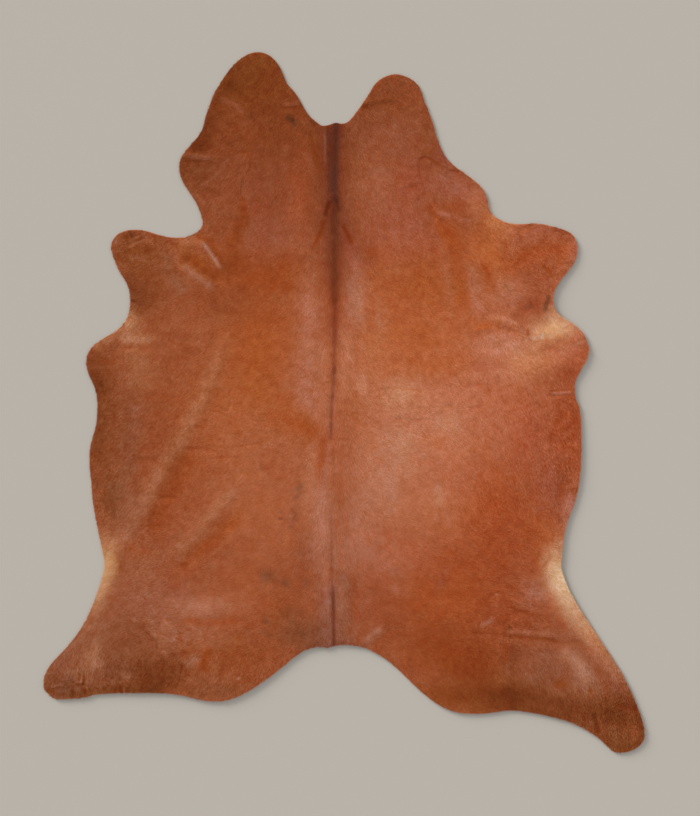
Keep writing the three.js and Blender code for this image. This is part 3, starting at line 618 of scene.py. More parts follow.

# Small creases lying across the hide, shown only by painted shade, and how deep that shade is.
WRINKLE_SHADE_COLUMNS = ("name", "x", "y", "rx", "ry", "depth")
WRINKLE_SHADES = (
    ("right loin", 290, -60, 160, 70, 0.8),
    ("left side", -330, -60, 210, 90, 0.9),
    ("left elbow", -640, 60, 120, 110, 0.5),
    ("left flank", -560, -350, 190, 130, 0.8),
    ("left thigh", -500, -700, 150, 120, 1.0),
    ("right thigh", 600, -650, 140, 130, 1.0),
    ("right foreleg", 570, 430, 120, 80, 0.5),
    ("right shoulder", 380, 520, 120, 110, 0.4),
)

# ---------------------------------------------------------------- how it lies
# Ridges (above 0) and troughs (below 0): half width, height, 1 where the ends fade.
CREASE_COLUMNS = ("name", "width", "height", "fade", "along")
CREASES = (
    ("shoulder left ridge", 10.3, 3.6, 1, ((-451, 497), (-406, 458), (-357, 391))),
    ("shoulder left second ridge", 15.2, 2.4, 1, ((-521, 428), (-448, 379), (-375, 336))),
    ("bowl left hollow", 15.2, -1.2, 1, ((-491, 443), (-424, 418), (-363, 376))),
    ("band left", 19.8, 1.7, 1, ((-351, 230), (-418, 29), (-479, -98), (-552, -220), (-612, -335), (-685, -451))),
    ("band left hollow", 21.3, -0.8, 1, ((-454, -135), (-515, -244), (-582, -396))),
    ("band left second", 18.2, 1.5, 1, ((-321, -226), (-387, -341), (-448, -402), (-539, -499))),
    ("band left second hollow", 18.2, -0.7, 1, ((-296, -323), (-375, -408), (-485, -499))),
    ("cheek left fold", 9.1, 2, 1, ((-497, 756), (-424, 747), (-351, 738))),
    ("ear left fold", 13.7, 1.8, 1, ((-412, 941), (-345, 908), (-278, 865))),
    ("ear left edge wave", 15.2, 1.5, 1, ((-418, 832), (-369, 820), (-314, 795))),
    ("ear right fold", 9.1, 1, 1, ((44, 905), (87, 914), (148, 923))),
    ("cheek right roll", 9.1, 1.3, 1, ((236, 725), (269, 722), (312, 689))),
    ("armpit right fold", 12.2, 2.4, 1, ((379, 218), (476, 236), (524, 221), (573, 181))),
    ("armpit right second fold", 9.1, 1.5, 1, ((427, 260), (494, 254), (549, 221))),
    ("elbow right fold", 10.9, 2, 1, ((591, 184), (646, 166), (725, 194))),
    ("shoulder right streak", 15.2, 1.4, 1, ((375, 443), (397, 339), (427, 236))),
    ("shoulder right second streak", 13.7, 1.2, 1, ((303, 418), (327, 315))),
    ("stifle right roll", 12.2, 1.5, 1, ((476, -727), (597, -743), (719, -764))),
    ("stifle right wrinkle", 6.1, 0.9, 1, ((421, -579), (506, -572), (597, -594))),
    ("stifle right second wrinkle", 6.1, 0.9, 1, ((427, -606), (518, -606), (616, -621))),
    ("stifle right third wrinkle", 6.7, 1, 1, ((409, -670), (494, -661), (597, -682))),
    ("hind right arc", 18.2, 1.7, 1, ((646, -749), (713, -791), (752, -882))),
    ("hind right fold", 12.2, 1.4, 1, ((777, -919), (789, -1022))),
    ("hind left fold", 7.3, 1.3, 1, ((-801, -809), (-795, -889))),
    ("stifle left streak", 9.1, 1.3, 1, ((-600, -645), (-558, -688), (-509, -730))),
    ("stifle left second streak", 9.1, 1.2, 1, ((-570, -639), (-521, -676), (-466, -724))),
    ("stifle left third streak", 9.1, 1.1, 1, ((-558, -743), (-521, -773), (-491, -809))),
    ("rump left wrinkle", 9.1, 1.2, 1, ((-473, -682), (-424, -706), (-381, -724))),
    ("rump left ring", 9.1, 1.1, 1, ((-436, -749), (-394, -761), (-369, -797), (-400, -834))),
    ("tail right ridge", 12.2, 1.9, 1, ((38, -746), (87, -706), (141, -673))),
    ("spine neck roll", 12.2, 0.9, 1, ((-59, 844), (-59, 765), (-56, 625))),
)

# Places where the trimmed edge stands further off the floor.
EDGE_LIFT_COLUMNS = ("name", "x", "y", "reach", "height")
EDGE_LIFTS = (
    ("left ear tip", -265, 1065, 80, 1.5),
    ("right ear tip", 161, 998, 70, 1.6),
    ("right cheek", 421, 645, 70, 1.8),
    ("right foreleg top", 600, 541, 60, 1.2),
    ("right foreleg end", 708, 471, 80, 2.2),
    ("right armpit", 640, 300, 80, 6.0),
    ("right elbow", 743, 171, 90, 3.6),
    ("right belly", 720, -147, 190, 4.0),
    ("right flank", 660, -508, 150, 4.2),
    ("right hock", 859, -850, 80, 1.6),
    ("right hind toe", 905, -1010, 90, 2.8),
    ("right shin", 660, -960, 90, 2.6),
    ("right rump", 385, -942, 130, 3.2),
    ("tail root", -32, -745, 140, 4.4),
    ("left rump", -330, -895, 150, 4.6),
    ("left shin", -640, -883, 170, 4.4),
    ("left hind toe", -900, -860, 60, 2.0),
    ("left elbow", -781, 114, 70, 1.5),
    ("left foreleg end", -706, 480, 60, 1.5),
    ("left cheek", -498, 713, 70, 1.5),
)


# ---------------------------------------------------------------- small helpers
def hashed(i, j, seed):
    """A repeatable number in 0..1 for each whole-number pair."""
    h = (i.astype(np.int64) * 374761393 + j.astype(np.int64) * 668265263 + seed * 974634777) & 0xFFFFFFFF
    h = ((h ^ (h >> 13)) * 1274126177) & 0xFFFFFFFF
    h = ((h ^ (h >> 15)) * 2246822519) & 0xFFFFFFFF
    return ((h ^ (h >> 16)) & 0xFFFFFF) / float(0x1000000)


def noise(x, y, cell, seed):
    """Smooth gradient noise of about -1..1 with features of one cell."""
    u, v = x / cell, y / cell
    i, j = np.floor(u), np.floor(v)
    f, g = u - i, v - j
    sf = f * f * f * (f * (f * 6 - 15) + 10)
    sg = g * g * g * (g * (g * 6 - 15) + 10)

    def corner(a, b):
        t = hashed(i + a, j + b, seed) * (2 * math.pi)
        return np.cos(t) * (f - a) + np.sin(t) * (g - b)

    low = corner(0, 0) * (1 - sf) + corner(1, 0) * sf
    high = corner(0, 1) * (1 - sf) + corner(1, 1) * sf
    return (low * (1 - sg) + high * sg) * 1.55


def smooth(t):
    t = np.clip(t, 0, 1)
    return t * t * (3 - 2 * t)


# ---------------------------------------------------------------- the trimmed edge
def cad_edge(node):
    """The outline of the flat solid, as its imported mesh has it, in order."""
    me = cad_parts[node].data
    co = np.empty(len(me.vertices) * 3, np.float32)
    me.vertices.foreach_get("co", co)
    co = co.reshape(-1, 3) / MM
    low = co[:, 2].min()
    key = {}
    ident = [key.setdefault((round(float(x), 2), round(float(y), 2)), len(key)) for x, y, z in co]
    place = np.array(list(key), float)
    after = {}
    for p in me.polygons:
        if abs(p.normal.z) > 0.5:
            continue
        v = list(p.vertices)
        for a, b in zip(v, v[1:] + v[:1]):
            if co[a, 2] < low + 0.01 and co[b, 2] < low + 0.01 and ident[a] != ident[b]:
                after[ident[a]] = ident[b]
    start = at = next(iter(after))
    loop = []
    while True:
        loop.append(at)
        at = after[at]
        if at == start:
            break
    pts = place[loop]
    area = 0.5 * np.sum(pts[:, 0] * np.roll(pts[:, 1], -1) - np.roll(pts[:, 0], -1) * pts[:, 1])
    return pts if area > 0 else pts[::-1]


def evenly(pts, step):
    """A closed line through pts, rounded between them, with even steps."""
    p0, p1, p2, p3 = np.roll(pts, 1, 0), pts, np.roll(pts, -1, 0), np.roll(pts, -2, 0)
    t = np.linspace(0, 1, 8, endpoint=False)[:, None, None]
    fine = 0.5 * (2 * p1 + (p2 - p0) * t + (2 * p0 - 5 * p1 + 4 * p2 - p3) * t ** 2 + (3 * p1 - p0 - 3 * p2 + p3) * t ** 3)
    fine = fine.transpose(1, 0, 2).reshape(-1, 2)
    closed = np.vstack([fine, fine[:1]])
    run = np.concatenate([[0], np.cumsum(np.hypot(*np.diff(closed, axis=0).T))])
    s = np.linspace(0, run[-1], int(run[-1] / step), endpoint=False)
    return np.stack([np.interp(s, run, closed[:, k]) for k in (0, 1)], 1)


EDGE = evenly(cad_edge("hide"), EDGE_STEP)
ahead = np.roll(EDGE, -1, 0) - np.roll(EDGE, 1, 0)
ahead /= np.hypot(*ahead.T)[:, None]
INWARD = np.stack([-ahead[:, 1], ahead[:, 0]], 1)

# ---------------------------------------------------------------- maps over the hide
# Distance to the edge, tone and height are worked out on one grid, read between
# its points by the skin and by every hair.
STEP = 2.0
MAP_X = np.arange(-930, 931, STEP)
MAP_Y = np.arange(-1085, 1086, STEP)
GRID_X, GRID_Y = np.meshgrid(MAP_X, MAP_Y)


def read_map(grid, x, y):
    u = np.clip((x - MAP_X[0]) / STEP, 0, len(MAP_X) - 1.001)
    v = np.clip((y - MAP_Y[0]) / STEP, 0, len(MAP_Y) - 1.001)
    i, j = u.astype(int), v.astype(int)
    f, g = u - i, v - j
    return (grid[j, i] * (1 - f) + grid[j, i + 1] * f) * (1 - g) + (grid[j + 1, i] * (1 - f) + grid[j + 1, i + 1] * f) * g


def near_map(grid, x, y):
    """A map's value at the nearest place of its grid."""
    i = np.clip(np.rint((x - MAP_X[0]) / STEP).astype(int), 0, len(MAP_X) - 1)
    j = np.clip(np.rint((y - MAP_Y[0]) / STEP).astype(int), 0, len(MAP_Y) - 1)
    return grid[j, i]


def window(x0, x1, y0, y1):
    i0, i1 = np.searchsorted(MAP_X, (x0, x1))
    j0, j1 = np.searchsorted(MAP_Y, (y0, y1))
    return slice(j0, j1), slice(i0, i1)


def edge_map():
    """Distance to the edge, positive inside."""
    E = EDGE.astype(np.float32)
    best = np.full(GRID_X.shape, 1e9, np.float32)
    # far from the edge a coarse answer does, so only a band round it is exact
    coarse = 8
    cx, cy = MAP_X[::coarse].astype(np.float32), MAP_Y[::coarse].astype(np.float32)
    far = np.empty((len(cy), len(cx)), np.float32)
    for r, y in enumerate(cy):
        far[r] = np.sqrt(((cx[:, None] - E[None, :, 0]) ** 2 + (y - E[None, :, 1]) ** 2).min(1))
    u = (GRID_X - MAP_X[0]) / (STEP * coarse)
    v = (GRID_Y - MAP_Y[0]) / (STEP * coarse)
    i = np.clip(u.astype(int), 0, len(cx) - 2)
    j = np.clip(v.astype(int), 0, len(cy) - 2)
    f, g = u - i, v - j
    best = (far[j, i] * (1 - f) + far[j, i + 1] * f) * (1 - g) + (far[j + 1, i] * (1 - f) + far[j + 1, i + 1] * f) * g
    near = np.argwhere(best < 75)
    P = np.stack([MAP_X[near[:, 1]], MAP_Y[near[:, 0]]], 1).astype(np.float32)
    order = np.lexsort((P[:, 0] // 80, P[:, 1] // 80))
    P, near = P[order], near[order]
    tile = (P[:, 0] // 80).astype(int) * 10007 + (P[:, 1] // 80).astype(int)
    cuts = np.concatenate([[0], np.flatnonzero(np.diff(tile)) + 1, [len(P)]])
    for a, b in zip(cuts[:-1], cuts[1:]):
        q = P[a:b]
        low, high = q.min(0) - 110, q.max(0) + 110
        some = E[((E > low) & (E < high)).all(1)]
        if len(some) == 0:
            continue
        d2 = (q[:, :1] - some[None, :, 0]) ** 2 + (q[:, 1:] - some[None, :, 1]) ** 2
        best[near[a:b, 0], near[a:b, 1]] = np.sqrt(d2.min(1))
    inside = np.zeros(GRID_X.shape, bool)
    a, b = EDGE, np.roll(EDGE, -1, 0)
    for r, y in enumerate(MAP_Y):
        cut = (a[:, 1] > y) != (b[:, 1] > y)
        xs = a[cut, 0] + (y - a[cut, 1]) / (b[cut, 1] - a[cut, 1]) * (b[cut, 0] - a[cut, 0])
        inside[r] = (xs[None, :] > MAP_X[:, None]).sum(1) % 2 == 1
    return np.where(inside, 1, -1) * best


EDGE_MAP = edge_map()


def to_edge(x, y):
    return read_map(EDGE_MAP, x, y)


# Borders on a hide wander, so the patches are laid out on wandering coordinates.
WANDER_X = GRID_X + 9.1 * noise(GRID_X, GRID_Y, 70, 31) + 4.3 * noise(GRID_X, GRID_Y, 24, 32)
WANDER_Y = GRID_Y - 9.1 * noise(GRID_X, GRID_Y, 70, 33) - 4.3 * noise(GRID_X, GRID_Y, 24, 34)
SWAY_X = GRID_X + 2.7 * noise(GRID_X, GRID_Y, 60, 35)
SWAY_Y = GRID_Y - 2.7 * noise(GRID_X, GRID_Y, 60, 36)


def stroke(along, start, end, fade, sway=True):
    """The window of a stroke along a line, and its strength there."""
    p = np.array(along, float)
    r = 3.2 * max(start, end) + 4
    s = window(p[:, 0].min() - r, p[:, 0].max() + r, p[:, 1].min() - r, p[:, 1].max() + r)
    X, Y = (SWAY_X[s], SWAY_Y[s]) if sway else (GRID_X[s], GRID_Y[s])
    leg = np.hypot(*np.diff(p, axis=0).T)
    run = np.concatenate([[0], np.cumsum(leg)]) / max(leg.sum(), 1e-6)
    q = np.full(X.shape, 1e9)
    at = np.zeros(X.shape)
    for k in range(len(p) - 1):
        d = p[k + 1] - p[k]
        t = np.clip(((X - p[k, 0]) * d[0] + (Y - p[k, 1]) * d[1]) / max(d @ d, 1e-6), 0, 1)
        gone = run[k] + (run[k + 1] - run[k]) * t
        far = np.hypot(X - p[k, 0] - t * d[0], Y - p[k, 1] - t * d[1]) / (start + (end - start) * gone)
        at = np.where(far < q, gone, at)
        q = np.minimum(q, far)
    w = 2.0 ** -(q * q)
    if fade:
        w = w * smooth(np.minimum(at, 1 - at) / 0.22 + 0.12)
    return s, w


def tone_maps():
    tone = np.zeros((3,) + GRID_X.shape)
    for name, x, y, rx, ry, turn, *ways in TONES:
        r = 3.2 * max(rx, ry)
        s = window(x - r, x + r, y - r, y + r)
        c, n = math.cos(math.radians(turn)), math.sin(math.radians(turn))
        dx, dy = WANDER_X[s] - x, WANDER_Y[s] - y
        w = 2.0 ** -(((dx * c + dy * n) / rx) ** 2 + ((dy * c - dx * n) / ry) ** 2)
        for k in range(3):
            tone[k][s] += w * ways[k]
    for name, x, y, reach, depth, *ways in EDGE_TONES:
        r = 3.2 * reach
        s = window(x - r, x + r, y - r, y + r)
        w = 2.0 ** -(((WANDER_X[s] - x) ** 2 + (WANDER_Y[s] - y) ** 2) / reach ** 2)
        w = w * 2.0 ** -((np.clip(EDGE_MAP[s], 0, None) / depth) ** 4)
        for k in range(3):
            tone[k][s] += w * ways[k]
    for name, start, end, fade, *ways, along in STREAKS:
        s, w = stroke(along, start, end, fade)
        for k in range(3):
            tone[k][s] += w * ways[k]
    for name, half, fade, rise, *ways, along in LINES:
        s, w = stroke(along, half, half, fade, False)
        for k in range(3):
            tone[k][s] += w * ways[k]
    return tone


TONE_MAPS = tone_maps()


def height_map():
    """Height of the flesh side, and below 0 how far the hair side sinks into a crease."""
    d = np.clip(EDGE_MAP, 0, None)
    h = EDGE_CURL * np.exp(-d / 85) * (0.75 + 0.5 * noise(GRID_X, GRID_Y, 170, 3))
    h += 0.5 * noise(GRID_X, GRID_Y, 310, 4) + 0.25 * noise(GRID_X, GRID_Y, 120, 5)
    for name, x, y, reach, height in EDGE_LIFTS:
        h += height * 2.0 ** -(((GRID_X - x) ** 2 + (GRID_Y - y) ** 2) / reach ** 2) * np.exp(-d / 80)
    for name, width, height, fade, along in CREASES:
        s, w = stroke(along, width, width, fade)
        h[s] += height * w
    # hair lies short and close beside a fine line, so the line stays sharp
    near = np.zeros(GRID_X.shape)
    for name, half, fade, rise, light, warm, gold, along in LINES:
        s, w = stroke(along, half, half, fade, False)
        h[s] += rise * w
        s, w = stroke(along, half + 7, half + 7, fade, False)
        near[s] = np.maximum(near[s], w)
    return h, near


def parting_maps():
    """Along which way the hair parts beside the fine lines, and how fully."""
    much = np.zeros(GRID_X.shape)
    way_x, way_y = np.zeros(GRID_X.shape), np.zeros(GRID_X.shape)
    for name, half, fade, rise, light, warm, gold, along in LINES:
        p = np.array(along, float)
        s, w = stroke(along, half + 4, half + 4, 0, False)
        w = np.clip(1.5 * w, 0, 1)
        far = np.full(w.shape, 1e9)
        tx, ty = np.zeros(w.shape), np.zeros(w.shape)
        for k in range(len(p) - 1):
            d = p[k + 1] - p[k]
            t = np.clip(((GRID_X[s] - p[k, 0]) * d[0] + (GRID_Y[s] - p[k, 1]) * d[1]) / max(d @ d, 1e-6), 0, 1)
            r = np.hypot(GRID_X[s] - p[k, 0] - t * d[0], GRID_Y[s] - p[k, 1] - t * d[1])
            tx, ty = np.where(r < far, d[0], tx), np.where(r < far, d[1], ty)
            far = np.minimum(far, r)
        size = np.maximum(np.hypot(tx, ty), 1e-6)
        more = w > much[s]
        way_x[s], way_y[s] = np.where(more, tx / size, way_x[s]), np.where(more, ty / size, way_y[s])
        much[s] = np.maximum(much[s], w)
    return much, way_x, way_y


HEIGHT_MAP, CREASE_MAP = height_map()
PARTING, PARTING_X, PARTING_Y = parting_maps()
LIFT_MAP = np.clip(HEIGHT_MAP, 0, 7)
SINK_MAP = np.clip(HEIGHT_MAP, -1.4, 0)


def lowest_near(grid, far):
    """Lowest value within far millimetres of each place."""
    low = grid.copy()
    n = int(math.ceil(far / STEP))
    for axis in (0, 1):
        base = low.copy()
        for k in range(1, n + 1):
            for way in (k, -k):
                low = np.minimum(low, np.roll(base, way, axis))
    return low


# the skin's mesh is coarser than a fine crease, so it lies at the bottom of it
SKIN_MAP = lowest_near(LIFT_MAP + SINK_MAP, GRID_TOP * 0.8)


def patch_map(rows):
    grid = np.zeros(GRID_X.shape)
    for name, x, y, rx, ry, much in rows:
        grid += much * 2.0 ** -(((WANDER_X - x) / rx) ** 2 + ((WANDER_Y - y) / ry) ** 2)
    return grid


ROUGH_MAP = 0.98 - 0.06 * np.tanh((GRID_X - SPINE_X) / 120) + patch_map(ROUGHS) + 0.25 * np.exp(-np.clip(EDGE_MAP, 0, None) / 60)
ROUGH_MAP = np.clip(ROUGH_MAP, 0.2, 2.2)
# where and how strongly painted shade darkens the small creases
WRINKLE_SHADE_MAP = np.clip(patch_map(WRINKLE_SHADES), 0, 1.3)


def lift(x, y):
    """Height of the flesh side above the floor."""
    return read_map(LIFT_MAP, x, y)


def hair_side(x, y):
    """Height of the skin under the hair."""
    return read_map(LIFT_MAP + SINK_MAP, x, y) + SKIN


def skin_side(x, y):
    """Height of the skin's own mesh, never above the roots of the hair."""
    return read_map(SKIN_MAP, x, y) + SKIN


def hide_normal(x, y):
    """The hair side's own normal."""
    s = 4.0
    sx = (hair_side(x + s, y) - hair_side(x - s, y)) / (2 * s)
    sy = (hair_side(x, y + s) - hair_side(x, y - s)) / (2 * s)
    n = np.column_stack([-sx, -sy, np.ones(len(x))])
    return n / np.linalg.norm(n, axis=1)[:, None]


def hair_way(x, y):
    """Direction in which the hair lies, as an angle from -Y towards +X, radians."""
    across = x - SPINE_X
    far = np.abs(across)
    mid = smooth((330 - y) / 120) * smooth((y + 420) / 120)
    croup = smooth((-470 - y) / 120)
    neck = smooth((y - 330) / 200)
    legs = smooth((far - 560) / 160)
    way = 67 * np.tanh(far / 115)
    steep = np.where(across > 0, 0.6, 0.42)
    way = way * (1 - steep * mid * smooth((far - 250) / 300)) * (1 - 0.35 * neck)
    way += croup * (14 - 40 * legs)
    way = way * (1 - 0.6 * smooth((-690 - y) / 130))
    way = way * np.sign(across)
    way += 9 * noise(x, y, 170, 11) + 6 * noise(x, y, 55, 12)
    return np.radians(way)


def drawn_out(x, y, way, cell, reach, seed):
    """Noise of about -1..1 drawn out along the lie of the hair."""
    dx, dy = np.sin(way), -np.cos(way)
    total = np.zeros(len(x))
    for t in (-1.0, -0.5, 0.0, 0.5, 1.0):
        total += noise(x + dx * reach * t, y + dy * reach * t, cell, seed)
    return total / 2.3


# ---------------------------------------------------------------- colour of the coat
def coat_colour(x, y):
    """Display colour of the coat, 0..255, with the painted sheen, painted highlights and painted crease shade from the
    tables in it.
    """
    light, warm, gold = (read_map(t, x, y) for t in TONE_MAPS)
    mottle = 3.2 * noise(x, y, 90, 21) + 5.5 * noise(x, y, 46, 22) + 6.5 * noise(x, y, 24, 23)
    light = light + mottle
    warm = warm - 0.2 * mottle + 1.6 * noise(x, y, 70, 25) + 2.4 * noise(x, y, 30, 26) + 2.4 * noise(x, y, 16, 28)
    ways = np.array(TONE_WAYS) * np.array(COAT_SPREAD)
    mean = np.array(COAT_MEAN)
    more = np.stack([light, warm, gold], 1) @ ways
    # darker marks level off, so no colour runs out
    return np.where(more < 0, mean * np.exp(np.minimum(more, 0) / mean), mean + more)


def linear(c):
    c = np.clip(c / 255.0, 0, 1)
    return np.where(c <= 0.04045, c / 12.92, ((c + 0.055) / 1.055) ** 2.4)


def coat_albedo(x, y):
    return np.clip(linear(coat_colour(x, y)) * np.array(COAT_GAIN), 0.004, 0.9)


# ---------------------------------------------------------------- materials
def new_material(name):
    m = bpy.data.materials.new(name)
    m.use_nodes = True
    nt = m.node_tree
    return m, nt, nt.nodes["Principled BSDF"]


def node(nt, kind, **inputs):
    n = nt.nodes.new(kind)
    for k, v in inputs.items():
        n.inputs[k.replace("_", " ")].default_value = v
    return n


def calc(nt, how, a, b):
    n = nt.nodes.new("ShaderNodeMath")
    n.operation = how
    for k, v in enumerate((a, b)):
        if isinstance(v, (int, float)):
            n.inputs[k].default_value = v
        else:
            nt.links.new(v, n.inputs[k])
    return n.outputs[0]


def vector(nt, how, a, b):
    n = nt.nodes.new("ShaderNodeVectorMath")
    n.operation = how
    for k, v in enumerate((a, b)):
        if isinstance(v, tuple):
            n.inputs[k].default_value = v
        else:
            nt.links.new(v, n.inputs[k])
    return n.outputs[0]


def coat_material():
    m, nt, bsdf = new_material("hair_coat")
    tone = nt.nodes.new("ShaderNodeAttribute")
    tone.attribute_name = "coat"
    coords = nt.nodes.new("ShaderNodeTexCoord")
    place = coords.outputs["Object"]
    # cloudy grain, stronger where the coat is rough
    grain = node(nt, "ShaderNodeTexNoise", Scale=GRAIN_SCALE, Detail=3.0, Roughness=0.75, Distortion=0.4)
    grain.noise_dimensions = "2D"
    nt.links.new(place, grain.inputs["Vector"])
    rough_coat = nt.nodes.new("ShaderNodeAttribute")
    rough_coat.attribute_name = "rough"
    cloud = calc(nt, "MULTIPLY", calc(nt, "SUBTRACT", grain.outputs["Fac"], 0.5), rough_coat.outputs["Fac"])
    # painted shade in small creases, long across the hide and thin along it
    long_way = vector(nt, "MULTIPLY", place, (20.0, 130.0, 0.0))
    fold = node(nt, "ShaderNodeTexNoise", Scale=1.0, Detail=1.0, Roughness=0.5, Distortion=0.5)
    fold.noise_dimensions = "2D"
    nt.links.new(long_way, fold.inputs["Vector"])
    wrinkle_shade_much = nt.nodes.new("ShaderNodeAttribute")
    wrinkle_shade_much.attribute_name = "wrinkle"
    dark = node(nt, "ShaderNodeMapRange", From_Min=0.58, From_Max=0.74, To_Min=0.0, To_Max=1.0)
    nt.links.new(fold.outputs["Fac"], dark.inputs["Value"])
    crease = calc(nt, "MULTIPLY", dark.outputs["Result"], wrinkle_shade_much.outputs["Fac"])
    depth = calc(nt, "SUBTRACT", calc(nt, "MULTIPLY", cloud, GRAIN_DEPTH), calc(nt, "MULTIPLY", crease, WRINKLE_SHADE_DEPTH))
    shift = nt.nodes.new("ShaderNodeVectorMath")
    shift.operation = "SCALE"
    shift.inputs[0].default_value = (0.48, 1.0, 1.7)
    nt.links.new(depth, shift.inputs["Scale"])
    whole = vector(nt, "MAXIMUM", vector(nt, "ADD", shift.outputs[0], (1.0, 1.0, 1.0)), (0.2, 0.2, 0.2))
    nt.links.new(vector(nt, "MULTIPLY", tone.outputs["Color"], whole), bsdf.inputs["Base Color"])
    rough = node(nt, "ShaderNodeMapRange", From_Min=0.3, From_Max=0.7, To_Min=0.5, To_Max=0.64)
    nt.links.new(grain.outputs["Fac"], rough.inputs["Value"])
    nt.links.new(rough.outputs["Result"], bsdf.inputs["Roughness"])
    bsdf.inputs["Specular IOR Level"].default_value = 0.1
    bsdf.inputs["Sheen Weight"].default_value = 0.02
    bsdf.inputs["Sheen Roughness"].default_value = 0.45
    bsdf.inputs["Sheen Tint"].default_value = (1.0, 0.82, 0.72, 1.0)
    return m


def suede_material(name, low, high):
    m, nt, bsdf = new_material(name)
    coords = nt.nodes.new("ShaderNodeTexCoord")
    nap = node(nt, "ShaderNodeTexNoise", Scale=90.0, Detail=5.0, Roughness=0.65)
    nt.links.new(coords.outputs["Object"], nap.inputs["Vector"])
    ramp = nt.nodes.new("ShaderNodeValToRGB")
    ramp.color_ramp.elements[0].position, ramp.color_ramp.elements[0].color = 0.3, (*low, 1)
    ramp.color_ramp.elements[1].position, ramp.color_ramp.elements[1].color = 0.7, (*high, 1)
    nt.links.new(nap.outputs["Fac"], ramp.inputs["Fac"])
    nt.links.new(ramp.outputs["Color"], bsdf.inputs["Base Color"])
    bump = node(nt, "ShaderNodeBump", Strength=0.25, Distance=0.0004)
    nt.links.new(nap.outputs["Fac"], bump.inputs["Height"])
    nt.links.new(bump.outputs["Normal"], bsdf.inputs["Normal"])
    bsdf.inputs["Roughness"].default_value = 0.9
    bsdf.inputs["Specular IOR Level"].default_value = 0.2
    return m


COAT_MAT = coat_material()
RIM_MAT = suede_material("cut_edge", (0.36, 0.24, 0.15), (0.55, 0.40, 0.27))
FLESH_MAT = suede_material("flesh_side", (0.42, 0.31, 0.21), (0.58, 0.46, 0.34))


def make_object(name, co, tris, material_index=None, materials=(), smooth_shade=True):
    me = bpy.data.meshes.new(name)
    me.vertices.add(len(co))
    me.vertices.foreach_set("co", (co * MM).astype(np.float32).ravel())
    me.loops.add(len(tris) * 3)
    me.loops.foreach_set("vertex_index", tris.astype(np.int32).ravel())
    me.polygons.add(len(tris))
    me.polygons.foreach_set("loop_start", np.arange(0, len(tris) * 3, 3, dtype=np.int32))
    me.polygons.foreach_set("use_smooth", np.full(len(tris), smooth_shade, bool))
    for m in materials:
        me.materials.append(m)
    if material_index is not None:
        me.polygons.foreach_set("material_index", material_index.astype(np.int32))
    me.update(calc_edges=True)
    me.validate()
    ob = bpy.data.objects.new(name, me)
    bpy.context.scene.collection.objects.link(ob)
    return ob


def set_colour(ob, rgb):
    layer = ob.data.color_attributes.new("coat", "FLOAT_COLOR", "POINT")
    rgba = np.ones((len(rgb), 4), np.float32)
    rgba[:, :3] = rgb
    layer.data.foreach_set("color", rgba.ravel())


def set_number(ob, name, values):
    layer = ob.data.attributes.new(name, "FLOAT", "POINT")
    layer.data.foreach_set("value", values.astype(np.float32))


def set_normals(ob, normals):
    ob.data.normals_split_custom_set_from_vertices(normals.astype(np.float32))


def set_map(ob, co, low, high):
    """A flat map from above, over the box low..high."""
    layer = ob.data.uv_layers.new(name="OFBake", do_init=False)
    loops = np.empty(len(ob.data.loops), np.int32)
    ob.data.loops.foreach_get("vertex_index", loops)
    uv = (co[:, :2] - low) / (high - low)
    layer.uv.foreach_set("vector", uv[loops].astype(np.float32).ravel())


# ---------------------------------------------------------------- the hide
def lattice(pitch, clear):
    rows = np.arange(-1070, 1071, pitch * 0.8660254)
    cols = np.arange(-925, 926, pitch)
    X, Y = np.meshgrid(cols, rows)
    X = X + (np.arange(len(rows)) % 2)[:, None] * pitch / 2
    X, Y = X.ravel(), Y.ravel()
    keep = to_edge(X, Y) > clear
    return np.stack([X[keep], Y[keep]], 1)


def triangles(pts, ring):
    """Triangles over the points inside the ring, which is the first of the points."""
    out = delaunay_2d_cdt([tuple(p) for p in pts], [], [list(range(ring))], 1, 1e-6)
    origin = np.array([o[0] for o in out[3]])
    if len(out[0]) != len(pts):
        raise RuntimeError("the triangulation merged or added points")
    return origin[np.array(out[2])]


def build_hide():
    n = len(EDGE)
    rim = EDGE + INWARD * 1.0
    ring1, ring2 = EDGE + INWARD * 3.5, EDGE + INWARD * 7.5
    top_xy = np.vstack([rim, ring1, ring2, lattice(GRID_TOP, 11.0)])
    under_xy = np.vstack([rim, EDGE + INWARD * 6.0, lattice(GRID_UNDER, 18.0)])
    top_t, under_t = triangles(top_xy, n), triangles(under_xy, n)
    z_top = skin_side(*top_xy.T)
    z_top[:n] -= 0.5
    top = np.column_stack([top_xy, z_top])
    # the flesh side is coarser, so it keeps clear below the hair side
    under = np.column_stack([under_xy, np.minimum(lift(*under_xy.T), skin_side(*under_xy.T) - 0.6)])
    k = np.arange(n)
    j = (k + 1) % n
    m = len(top)
    wall = np.vstack([np.column_stack([k, m + k, m + j]), np.column_stack([k, m + j, j])])
    co = np.vstack([top, under])
    tris = np.vstack([top_t, under_t[:, ::-1] + m, wall])
    which = np.concatenate([np.zeros(len(top_t)), np.full(len(under_t), 2), np.ones(len(wall))])
    ob = make_object("hide_skin", co, tris, which, (COAT_MAT, RIM_MAT, FLESH_MAT))
    set_colour(ob, coat_albedo(co[:, 0], co[:, 1]))
    set_number(ob, "rough", read_map(ROUGH_MAP, co[:, 0], co[:, 1]))
    # how much painted shade darkens the small creases here
    set_number(ob, "wrinkle", read_map(WRINKLE_SHADE_MAP, co[:, 0], co[:, 1]))
    low, high = EDGE.min(0) - 4, EDGE.max(0) + 4
    set_map(ob, co, low, high)
    print("HIDE triangles", len(tris))
    return ob


hide = build_hide()


# ---------------------------------------------------------------- the coat
ZONES = ("coat_neck", "coat_left_side", "coat_right_side", "coat_hind")


